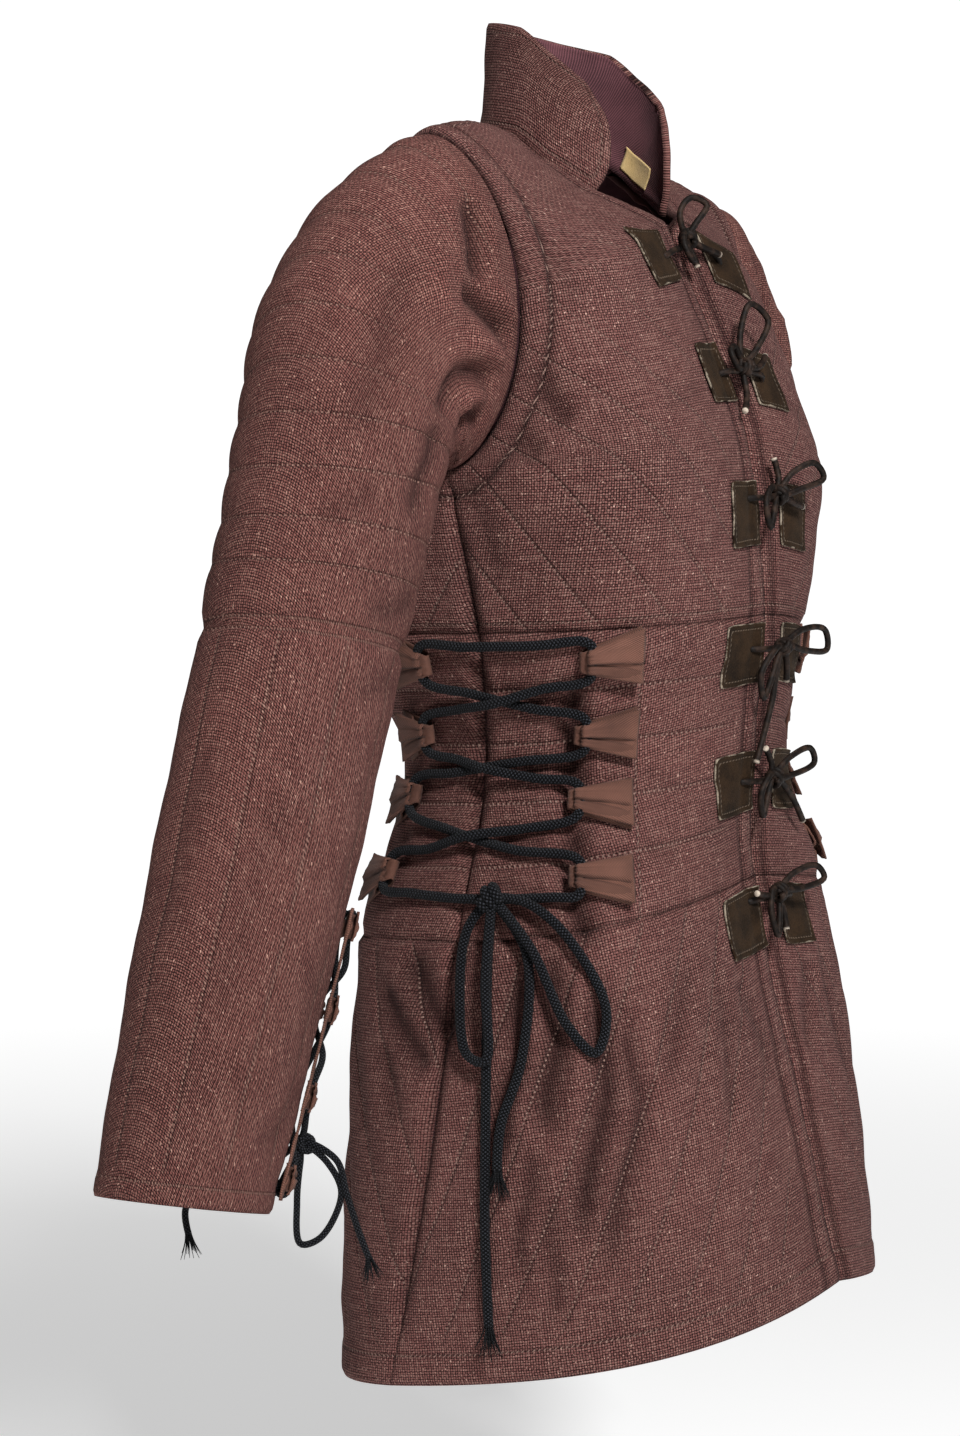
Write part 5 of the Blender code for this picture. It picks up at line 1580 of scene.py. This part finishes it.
def add_sleeve(side, word):
    fine = np.linspace(0, CUFF, 200)
    outer = lengths_along(np.array([sleeve_ring(r, 170.0) for r in fine]))
    count = int(round(outer[-1] / MESH_STEP))
    rings = np.interp(np.linspace(0, outer[-1], count + 1), outer, fine)
    rings[np.argmin(abs(rings - ELBOW))] = ELBOW
    columns = np.linspace(0, SLEEVE_STEPS, 119)
    points = np.array([sleeve_ring(r, sleeve_turns(r, columns)) for r in rings])
    points = mirrored(points, side)
    u, v = row_lengths(points), column_lengths(points)
    outside = np.interp(rings, fine, outer)
    elbow = np.interp(ELBOW, fine, outer)
    upper = rings[:, None] < ELBOW - 1e-6
    shape = u.shape
    upper_phase = np.interp(rings, range(7), UPPER_LENGTHS) / UPPER_LENGTHS[-1] * UPPER_CHANNELS
    fore_phase = columns / SLEEVE_STEPS * FOREARM_CHANNELS
    phase = np.where(upper, upper_phase[:, None] + 0 * u, fore_phase[None] + 0 * u)
    dash = np.where(upper, u, v)
    from_elbow = np.abs(outside - elbow)[:, None]
    from_cuff = (outside[-1] - outside)[:, None]
    puff = np.where(upper, eased((rings[:, None] - 0.25) / 0.5), 0.8)
    puff = puff * eased((from_elbow - 0.004) / 0.006) * eased((from_cuff - 0.013) / 0.02)
    slit = np.minimum(u, u[:, -1:] - u)
    puff = puff * np.where(upper, 1, eased(slit / 0.02 + 0.15)) + 0 * u
    shown = np.clip(puff * 2.5, 0, 1)
    bunched = near(columns - 2.6, 2.0)[None] * eased((4.2 - rings) / 1.6)[:, None]
    height = (0.0017 - 0.0005 * eased((2.5 - rings) / 1.5))[:, None] * puff * pillow(phase)
    height = height * (1 - bunched)
    shown = shown * (1 - bunched)
    flat_points = points.reshape(-1, 3)
    folds, depths = creased(flat_points, "sleeve")
    slow = waves(flat_points, 45.0, 0.0012) + waves(flat_points, 130.0, 0.0003)
    height = height + (folds + slow).reshape(shape) * eased(rings[:, None] / 0.5)
    height -= 0.0018 * near(from_elbow, 0.0040)
    height -= 0.0014 * near(outside[:, None], 0.0040)
    height -= 0.0015 * near(from_cuff, 0.0022)
    height += 0.0007 * eased((0.0125 - from_cuff) / 0.003 + 0.5)
    height -= 0.0008 * near(slit, 0.003)
    edge = np.minimum(from_elbow + 0.0030, np.abs(from_cuff - 0.0055)) + 0 * u
    edge = np.minimum(edge, np.where(rings[:, None] > SLIT_TOP, slit, 1.0))
    away = points[90, 60] - points[90].mean(axis=0)
    outwards = turned_out(grid_normals(points), (90, 60), away)
    moved = settled(points + outwards * height[..., None])
    # the first ring is tucked under the armhole, so that the seam is closed all round
    moved[0] += unit(moved[0] - moved[1]) * SLEEVE_TUCK - outwards[0] * SLEEVE_SINK
    # the crease depths darken the sleeve as painted shade
    fields = {
        "quilt": phase, "dash": dash / STITCH, "puff": shown, "edge": edge,
        "painted_shade": depths.reshape(shape),
    }
    flat = np.stack([u, v], axis=-1)
    flat[0, :, 1] -= SLEEVE_TUCK
    made = add_cloth(
        f"sleeve_cloth_{word}", moved, flat, fields, outwards, SLEEVE_WALL, sleeve_canvas
    )
    hand_over(made, "canvas", None, f"sleeve_{word}")
    declare(made, u, v, points)


for side, word in ((-1, "right"), (1, "left")):
    add_sleeve(side, word)
print("sleeves:", {k: v for k, v in CUT_SIZES.items() if k.startswith("sleeve")})

# %% [markdown]
# ## The collar, the lining under it and the neck tape
# The collar is one standing band, plain outside and lined with a finer twill. Inside
# the neck a thin cotton lies against the panels and gathers in small folds.

# %% The collar
COLLAR_HEIGHT, COLLAR_WALL, COLLAR_STEPS = 0.068, 0.0045, 24
COLLAR_TUCK = 0.0045  # how far its lower edge goes in under the panels
COLLAR_ENDS = (50, 43, 41, 44, 56)
COLLAR_DROPS = (0, 0, 0, 0.001, 0.004)
NECK_COLUMNS = [50, 75, 100, 116, 132, 148, 164, 180]
COLLAR_COLUMNS = [0, 2, 4, 5.6, 7.2, 8.8, 10.4, 12]


def collar_point(share, column):
    from_end = min(column, COLLAR_STEPS - column)
    base_turn = np.interp(from_end, COLLAR_COLUMNS, NECK_COLUMNS)
    end = glide(COLLAR_ENDS, share * 4)
    ring = neck(180 - (180 - base_turn) * (180 - end) / (180 - COLLAR_ENDS[0]))
    inward = unit((ring - [0, NECK_MIDDLE_Y, 0]) * [1, 1, 0])
    point = ring - inward * 0.003 * share
    point[1] -= 0.002 * share
    point[2] += share * COLLAR_HEIGHT - glide(COLLAR_DROPS, share * 4) * max(0, 1 - from_end / 2)
    return mirrored(point, 1 if column <= COLLAR_STEPS / 2 else -1)


def collar_net(shares, columns):
    return np.array([[collar_point(s, c) for c in columns] for s in shares])


def from_axis(points):
    return unit((points - [0, NECK_MIDDLE_Y, 0]) * [1, 1, 0])


def add_collar():
    points = collar_net(np.linspace(0, 1, 25), np.linspace(0, COLLAR_STEPS, 125))
    u, v = row_lengths(points), column_lengths(points)
    top, ends = v[-1:] - v, np.minimum(u, u[:, -1:] - u)
    outwards = from_axis(points)
    flat_points = points.reshape(-1, 3)
    height = waves(flat_points, 60.0, 0.0012) + waves(flat_points, 170.0, 0.0004)
    height = height.reshape(u.shape) * eased(v / 0.012)
    height -= 0.0012 * near(top, 0.002) + 0.0012 * near(ends, 0.002)
    height -= 0.0010 * near(v, 0.003)
    moved = settled(points + outwards * height[..., None])
    moved[0, :, 2] -= COLLAR_TUCK
    fields = {"edge": np.minimum.reduce([top, ends, v]), "painted_shade": np.zeros(u.shape)}
    flat = np.stack([u, v], axis=-1)
    flat[0, :, 1] -= COLLAR_TUCK
    made = add_cloth("collar_cloth", moved, flat, fields, outwards, COLLAR_WALL, plain_canvas)
    hand_over(made, "canvas", None, "collar")
    declare(made, u, v, points)


add_collar()


# %% The lining inside the neck
COTTON_DEPTH = 0.0094  # how far it lies inside the outer face of the panels


def add_neck_lining(name, points, node):
    middle = points.shape[0] // 2, points.shape[1] // 2
    away = points[middle] - [0, NECK_MIDDLE_Y, -0.2]
    outwards = turned_out(grid_normals(points), middle, away)
    u, v = row_lengths(points), column_lengths(points)
    folds = 0.0006 * np.sin(u * 260 + 6 * np.sin(v * 40)) + 0.0004 * np.sin(v * 330 + u * 90)
    moved = settled(points - outwards * (COTTON_DEPTH - folds[..., None]))
    flat = np.stack([u, v], axis=-1)
    made = add_cloth(name, moved, flat, {}, outwards, COTTON, neck_cotton, inside=False)
    hand_over(made, "lining", None, node)
    declare(made, u, v, points)


neck_rows = np.linspace(NECK_FRONT, SHOULDER, 36)
for side, word in ((-1, "right"), (1, "left")):
    net_points, _ = front_net(side, neck_rows, first=0.5)
    add_neck_lining(f"neck_cotton_{word}", net_points, f"neck_lining_{word}")
net_points, _ = back_net(np.linspace(8, SHOULDER, 30), first=0.5)
add_neck_lining("neck_cotton_back", net_points, "neck_lining_back")


# %% The bare neck tape
def add_neck_tape():
    points = collar_net(np.linspace(0.02, 0.28, 14), np.linspace(1.6, 3.3, 20))
    outwards = from_axis(points)
    v = column_lengths(points)
    u = np.linspace(0, 1, v.shape[1])[None] * np.ones((len(v), 1))
    curl = 0.0004 * np.sin(u * 5 + 0.6) + 0.0003 * np.cos(v * 300)
    moved = settled(points - outwards * (COLLAR_WALL + 0.0010 + curl)[..., None])
    flat = np.stack([u * 0.026, v], axis=-1)
    made = add_cloth("neck_tape", moved, flat, {}, outwards, 0.0006, satin, inside=False)
    hand_over(made, "label", None, "neck_label")


add_neck_tape()
print("neck pieces:", {k: v for k, v in CUT_SIZES.items() if k.startswith(("neck", "collar"))})

# %% [markdown]
# ## The leather patches and their ties
# Twelve pieces of suede carry the ties. Each is laid down on the cloth under it: rays
# go from over the patch straight in to the cloth, and the patch follows what they meet
# smoothly. Its cut edges are pale and a little ragged, and it is sewn down by hand.

# %% The cloth as something to lay pieces on
def surface_of(made):
    graph = bpy.context.evaluated_depsgraph_get()
    return BVHTree.FromObject(made, graph)


CLOTH = [
    surface_of(bpy.data.objects[f"{part}_cloth_front_{word}"])
    for part in ("skirt", "waist", "chest") for word in ("right", "left")
]


def height_over(surfaces, point, outward, reach=0.03):
    """How far the topmost surface lies outwards from a point, or None."""
    start = Vector(point + outward * reach)
    found = []
    for surface in surfaces:
        place, _, _, far = surface.ray_cast(start, Vector(-outward), 2 * reach)
        if place is not None:
            found.append(reach - far)
    return max(found) if found else None


# %% The patches
PATCH_THICKNESS = 0.0014
Patch = namedtuple("Patch", "low high near_x far_x lean rise")
PATCHES = [
    Patch(6.68, 7.06, -0.070, 0.058, 0.010, 0.24),
    Patch(5.78, 6.27, -0.044, 0.057, 0.006, 0.00),
    Patch(4.44, 4.85, -0.046, 0.057, 0.000, 0.00),
    Patch(3.50, 3.96, -0.050, 0.058, 0.000, 0.00),
    Patch(2.47, 2.97, -0.050, 0.058, 0.000, 0.00),
    Patch(1.66, 1.96, -0.056, 0.060, 0.000, 0.00),
]
NEAR_INNER, FAR_INNER, TOP_INNER = -0.006, 0.0225, -0.030


def softened(values, times=2):
    """Each value drawn towards its neighbours, so that leather bridges small dips."""
    for _ in range(times):
        wide = np.pad(values, 1, mode="edge")
        beside = wide[:-2, 1:-1] + wide[2:, 1:-1] + wide[1:-1, :-2] + wide[1:-1, 2:]
        values = 0.5 * values + 0.125 * beside
    return values


def add_patch(number, patch, side, word, inner, outer):
    first = abs(TOP_INNER if number == 1 and side < 0 else inner)
    lean, rise = (patch.lean, patch.rise) if side < 0 else (0, 0)
    ups, outs = np.linspace(0, 1, 25), np.linspace(0, 1, 23)
    points = np.zeros((len(ups), len(outs), 3))
    outwards, lifts = np.zeros_like(points), np.full(points.shape[:2], np.nan)
    wobble = 0.9 * number + (0.5 if side > 0 else 0)
    for i, up in enumerate(ups):
        for j, out in enumerate(outs):
            # edges cut by hand run a little out of true
            up_cut = up + 0.006 * math.sin(6 * out + wobble) * (2 * up - 1)
            out_cut = out + 0.008 * math.sin(5 * up + 2 * wobble) * (2 * out - 1)
            corner = 0.012 * abs(2 * up - 1) ** 8 * abs(2 * out - 1) ** 8
            up_cut -= corner * (2 * up - 1)
            row = patch.low + (patch.high - patch.low + rise * out_cut) * up_cut
            x = first + (abs(outer) - first) * out_cut + lean * up_cut
            point, outward = front_place_at_x(side, row, x)
            points[i, j], outwards[i, j] = settled(point), outward
            lift = height_over(CLOTH, points[i, j], outward)
            lifts[i, j] = np.nan if lift is None else lift
    lifts = np.where(np.isnan(lifts), np.nanmedian(lifts), lifts)
    lifts = np.maximum(softened(lifts, 6), softened(lifts, 1) - 0.0003)
    a, b = np.abs(2 * ups - 1)[:, None], np.abs(2 * outs - 1)[None]
    curl = 0.0007 * (a**7 + b**7) * (1 + 0.5 * np.sin(4 * a + 5 * b + wobble))
    points = points + outwards * (lifts + 0.0003 + curl)[..., None]
    high = lengths_along(points[:, 11])[-1]
    wide = lengths_along(points[12])[-1]
    v, u = np.meshgrid(ups * high, outs * wide, indexing="ij")
    edge = np.minimum.reduce([u, v, wide - u, high - v])
    flat = np.stack([u, v], axis=-1)
    across, up = points[12, 12] - points[12, 11], points[13, 11] - points[12, 11]
    if np.cross(across, up) @ outwards[12, 11] < 0:
        points, flat, edge = points[:, ::-1], flat[:, ::-1], edge[:, ::-1]
    made, row, column = net(f"suede_{word}_{number}", points, flat)
    give(made, "edge", edge[row, column])
    thicken(made, PATCH_THICKNESS, 1)
    rounded = made.modifiers.new("edges", "BEVEL")
    rounded.width, rounded.segments, rounded.limit_method = 0.0003, 1, "ANGLE"
    rounded.angle_limit = math.radians(60)
    bpy.ops.object.modifier_apply(modifier="edges")
    made.data.shade_smooth()
    hand_over(made, "suede", dark_suede, f"patch_{word}_{number}")
    return made


SUEDE = []
for number, patch in enumerate(PATCHES, 1):
    SUEDE.append(add_patch(number, patch, -1, "right", NEAR_INNER, patch.near_x))
    SUEDE.append(add_patch(number, patch, 1, "left", FAR_INNER, patch.far_x))
PATCH_TOPS = [surface_of(made) for made in SUEDE]
print("patches:", len(SUEDE))

# %% [markdown]
# ## The ties
# Each tie is two round leather thongs. A thong comes out of a hole in its patch, goes
# into the knot over the opening, makes one loop of the bow and ends in a tail. No two
# bows are tied alike, so each has its own row of sizes.

# %% The ties, their knots and the pale cut ends of the thongs
Tie = namedtuple("Tie", "row x loop_x loop_up left_x left_up tail_x tail_up end_x end_up tilt")
TIES = [
    Tie(6.86, -0.002, 0.016, 0.026, -0.026, -0.008, 0.030, -0.002, 0.006, -0.018, 35),
    Tie(6.06, 0.006, 0.022, 0.034, -0.020, 0.004, 0.030, 0.012, -0.022, -0.040, -25),
    Tie(4.74, 0.012, 0.032, 0.020, -0.026, -0.014, 0.028, -0.004, 0.002, 0.026, 20),
    Tie(3.78, 0.008, 0.044, 0.008, -0.030, -0.026, 0.010, -0.022, -0.022, -0.074, -40),
    Tie(2.74, 0.008, 0.036, 0.014, -0.020, -0.018, 0.048, -0.028, -0.010, 0.018, 30),
    Tie(1.90, 0.010, 0.038, 0.014, -0.018, -0.020, -0.032, 0.004, 0.006, -0.022, 15),
]
KNOT_LIFT = 0.0095


def front_height(row, x):
    return over_front(row, x, 0.0), None


def add_tie(number, tie):
    high = row_height(front_height, tie.row, 0.0)

    def at(x, up, lift):
        return over_front(tie.row + up / high, tie.x + x, lift)

    knot = at(0, 0, KNOT_LIFT)
    inner = TOP_INNER if number == 1 else NEAR_INNER
    outward = unit(at(0, 0, 0.02) - at(0, 0, 0))
    starts = []
    for x in (inner - 0.014, 0.036):
        foot = at(x - tie.x, -0.001, 0.0)
        way = unit(at(x - tie.x, -0.001, 0.02) - foot)
        lift = height_over(PATCH_TOPS, settled(foot), way)
        starts.append((foot, way, 0.003 if lift is None else lift))
    lx, lu, sx, su = tie.loop_x, tie.loop_up, tie.left_x, tie.left_up
    big = [
        (lx * 0.45 - lu * 0.16, lu * 0.5 + lx * 0.16, 0.014),
        (lx * 0.92 - lu * 0.14, lu * 0.95 + lx * 0.12, 0.021),
        (lx + lu * 0.12, lu * 0.88 - lx * 0.10, 0.022),
        (lx * 0.45 + lu * 0.10, lu * 0.4 - lx * 0.1, 0.015),
    ]
    small = [
        (sx * 0.5, su * 0.4 + 0.010, 0.012), (sx, su * 0.8 + 0.006, 0.011),
        (sx * 0.8, su - 0.005, 0.011),
    ]
    tail = [(tie.tail_x * 0.5, tie.tail_up * 0.3 - 0.002, 0.010), (tie.tail_x, tie.tail_up, 0.009)]
    end = [(tie.end_x * 0.45 + 0.003, tie.end_up * 0.5, 0.0080), (tie.end_x, tie.end_up, 0.0075)]
    routes = []
    strands = ("right", starts[0], big, end), ("left", starts[1], small, tail)
    for name, (foot, way, lift), loop, rest in strands:
        route = [foot + way * (lift - 0.0012), foot + way * (lift + 0.0016) + (knot - foot) * 0.22]
        route += [knot - unit(knot - foot) * 0.004]
        route += [at(*p) for p in loop] + [knot] + [at(*p) for p in rest]
        routes.append((f"thong_{name}_{number}", route))
    up = unit(at(0, 0.01, 0) - at(0, -0.01, 0))
    across = unit(np.cross(up, outward))
    tilt = math.radians(tie.tilt)
    axis = across * math.cos(tilt) + up * math.sin(tilt)
    wraps = [
        wound_knot(
            f"knot_{number}a", settled(knot + outward * 0.0006), axis,
            THONG_RADIUS, 0.0048, "thong", thong, turns=2.0,
        ),
        wound_knot(
            f"knot_{number}b", settled(knot - up * 0.0012), axis + up * 0.9,
            THONG_RADIUS * 0.95, 0.0040, "thong", thong, turns=1.1, slip=0.6,
        ),
    ]
    for wrap in wraps:
        give(wrap, "cut", np.zeros(len(wrap.data.vertices)))
    for k, (name, route) in enumerate(routes):
        free_cord(
            name, route, THONG_RADIUS, "thong", thong, "bare", "loose", step=THONG_STEP, sides=10,
            cut=True, nodes=[f"tie_{number}"] if k == 0 else (), parts=wraps if k == 0 else (),
        )


for number, tie in enumerate(TIES, 1):
    add_tie(number, tie)
print("thongs (m):", {k: v for k, v in CORD_LENGTHS.items() if k.startswith("thong")})

# %% [markdown]
# ## Floor and light
# A pale plain floor and a white surround stand for a studio sweep. One soft light above
# the camera and a little to its right models the sleeve and the quilting. A weaker one
# overhead and the surround keep the shadows open.

# %% The floor
FLOOR_LEVEL = -1.05
bpy.ops.object.select_all(action="DESELECT")
bpy.ops.mesh.primitive_plane_add(size=14, location=(0, 0, 0))
floor = bpy.context.object
floor.name = "floor"
for vertex in floor.data.vertices:
    vertex.co.z = FLOOR_LEVEL
pale = Recipe("pale floor", (0.92, 0.92, 0.92), 0.85)
# Away from the coat the floor glows a little, so that it runs into the white behind it.
distance = pale.tree.nodes.new("ShaderNodeVectorMath")
distance.operation = "LENGTH"
pale.put(distance.inputs[0], pale.place())
glow = pale.within(distance.outputs["Value"], 1.2, 4.5)
pale.put(pale.shader.inputs["Emission Color"], pale.mix(glow, (0.42,) * 3, (0.95,) * 3))
pale.shader.inputs["Emission Strength"].default_value = 1.0
floor.data.materials.append(pale.material)


# %% The lights
def soft_light(name, place, target, size, power):
    data = bpy.data.lights.new(name, "AREA")
    data.shape, data.size, data.size_y = "RECTANGLE", size, size
    data.energy = power
    light = bpy.data.objects.new(name, data)
    light.location = place
    light.rotation_euler = (Vector(target) - Vector(place)).to_track_quat("-Z", "Y").to_euler()
    bpy.context.scene.collection.objects.link(light)


COAT_MIDDLE = (0, 0, -0.3)
soft_light("key", (-1.72, -1.92, 1.45), COAT_MIDDLE, 0.5, 120)
soft_light("fill", (-0.1, -0.5, 2.2), COAT_MIDDLE, 0.9, 16)
world = bpy.data.worlds.new("surround")
world.use_nodes = True
surround = world.node_tree
ROOM_LIGHT, SWEEP_LIGHT = 0.07, 1.35
room = surround.nodes["Background"]
room.inputs["Color"].default_value = (1.0, 1.0, 1.0, 1)
room.inputs["Strength"].default_value = ROOM_LIGHT
# The sweep behind the coat is white, though the room around lights it less.
sweep = surround.nodes.new("ShaderNodeBackground")
sweep.inputs["Strength"].default_value = SWEEP_LIGHT
which = surround.nodes.new("ShaderNodeMixShader")
rays = surround.nodes.new("ShaderNodeLightPath")
surround.links.new(rays.outputs["Is Camera Ray"], which.inputs["Fac"])
surround.links.new(room.outputs[0], which.inputs[1])
surround.links.new(sweep.outputs[0], which.inputs[2])
surround.links.new(which.outputs[0], surround.nodes["World Output"].inputs["Surface"])
bpy.context.scene.world = world
bpy.context.scene.view_settings.view_transform = "Standard"

# %% Sizes, and the end
total = sum(len(o.data.polygons) for o in bpy.context.scene.objects if o.type == "MESH")
print("faces in all:", total)
